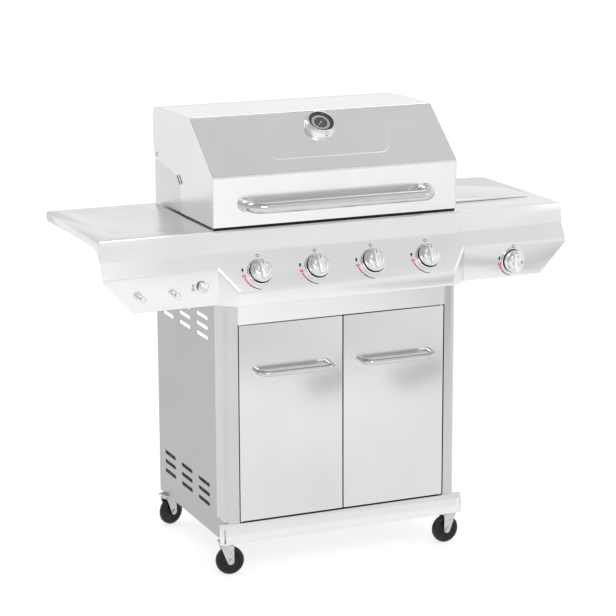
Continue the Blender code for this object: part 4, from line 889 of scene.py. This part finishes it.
SOFTBOXES = [
    # name, place, aim, size, power
    ("top_softbox", (-2.2, 1.6, 4.2), (0, 0, 0.6), (2.4, 2.4), 30),
    ("front_softbox", (-0.8, -3.6, 3.0), (-0.6, -3.0, 0.0), (1.8, 1.6), 32),
    ("ridge_softbox", (1.56, 2.2, 4.1), (0, 0, 1.1), (2.4, 0.9), 11),
    ("fold_softbox", (1.4, -2.3, 4.0), (0, -0.2, 1.0), (2.2, 0.5), 1.6),
    ("right_softbox", (3.8, -2.6, 2.4), (0.2, 0, 0.8), (0.9, 2.2), 3),
]


def studio():
    """A pale floor, a grey card that the right of the front reflects, the soft lights and the world."""
    paper = Shading("pale_floor", (0.50, 0.50, 0.50), 0.9, 0.0)
    paper.shader.inputs["Emission Color"].default_value = (1, 1, 1, 1)
    paper.shader.inputs["Emission Strength"].default_value = 0.66
    paper.shader.inputs["Specular IOR Level"].default_value = 0.0
    sheet("floor", (-60.0, -60.0), (60.0, 60.0), 0.0, paper.material)
    grey = Shading("grey_card", (0.42, 0.42, 0.42), 0.9, 0.0).material
    card = sheet("grey_card", (1.35, -3.55), (3.4, -2.2), 0.004, grey)
    card.visible_camera = False
    for box in SOFTBOXES:
        softbox(*box)
    soft_world()


def soft_world():
    """A world that darkens upwards and brightens towards +X."""
    world = bpy.data.worlds.new("studio")
    bpy.context.scene.world = world
    world.use_nodes = True
    nodes, links = world.node_tree.nodes, world.node_tree.links
    place = nodes.new("ShaderNodeTexCoord")
    split = nodes.new("ShaderNodeSeparateXYZ")
    links.new(place.outputs["Generated"], split.inputs["Vector"])
    height = nodes.new("ShaderNodeValToRGB")
    stops = ((0.0, 1.0), (0.25, 1.04), (0.60, 0.90), (0.80, 0.72), (1.0, 0.66))
    ramp = height.color_ramp
    while len(ramp.elements) < len(stops):
        ramp.elements.new(0.5)
    for element, (position, grey) in zip(ramp.elements, stops):
        element.position = position
        element.color = (grey, grey, grey, 1.0)
    links.new(split.outputs["Z"], height.inputs["Fac"])
    sides = nodes.new("ShaderNodeMapRange")
    sides.inputs["From Min"].default_value = -0.9
    sides.inputs["From Max"].default_value = 0.9
    sides.inputs["To Min"].default_value = 0.72
    sides.inputs["To Max"].default_value = 1.12
    links.new(split.outputs["X"], sides.inputs["Value"])
    mix = nodes.new("ShaderNodeMixRGB")
    mix.blend_type = "MULTIPLY"
    mix.inputs["Fac"].default_value = 1.0
    links.new(height.outputs["Color"], mix.inputs["Color1"])
    links.new(sides.outputs["Result"], mix.inputs["Color2"])
    links.new(mix.outputs["Color"], nodes["Background"].inputs["Color"])
    nodes["Background"].inputs["Strength"].default_value = 0.94


def camera():
    """The viewpoint, rolled a little about its own axis, and the plain view transform."""
    azimuth, elevation = math.radians(VIEW_AZIMUTH), math.radians(VIEW_ELEVATION)
    back = Vector((math.sin(azimuth) * math.cos(elevation), -math.cos(azimuth) * math.cos(elevation),
                   math.sin(elevation)))
    data = bpy.data.cameras.new("camera")
    data.lens = VIEW_LENS
    data.sensor_width = VIEW_SENSOR
    data.shift_x, data.shift_y = VIEW_SHIFT
    made = bpy.data.objects.new("camera", data)
    bpy.context.scene.collection.objects.link(made)
    made.location = VIEW_TARGET + back * VIEW_DISTANCE
    turn = (-back).to_track_quat("-Z", "Y").to_matrix() @ Matrix.Rotation(math.radians(-VIEW_ROLL), 3, "Z")
    made.rotation_euler = turn.to_euler()
    bpy.context.scene.camera = made
    bpy.context.scene.view_settings.view_transform = "Standard"


finish_nodes()
for word in KNOBS:
    knob(word)
    bezel(word)
control_marks()
ignition_button()
tool_pegs()
thermometer()
hood_emboss()
hood_folds()
hood_handle_seats()
hood_ends()
frame_screws()
door_gap_shade()
burner_ports()
for corner in CORNERS:
    wheel(corner)
caster_races()
studio()
camera()
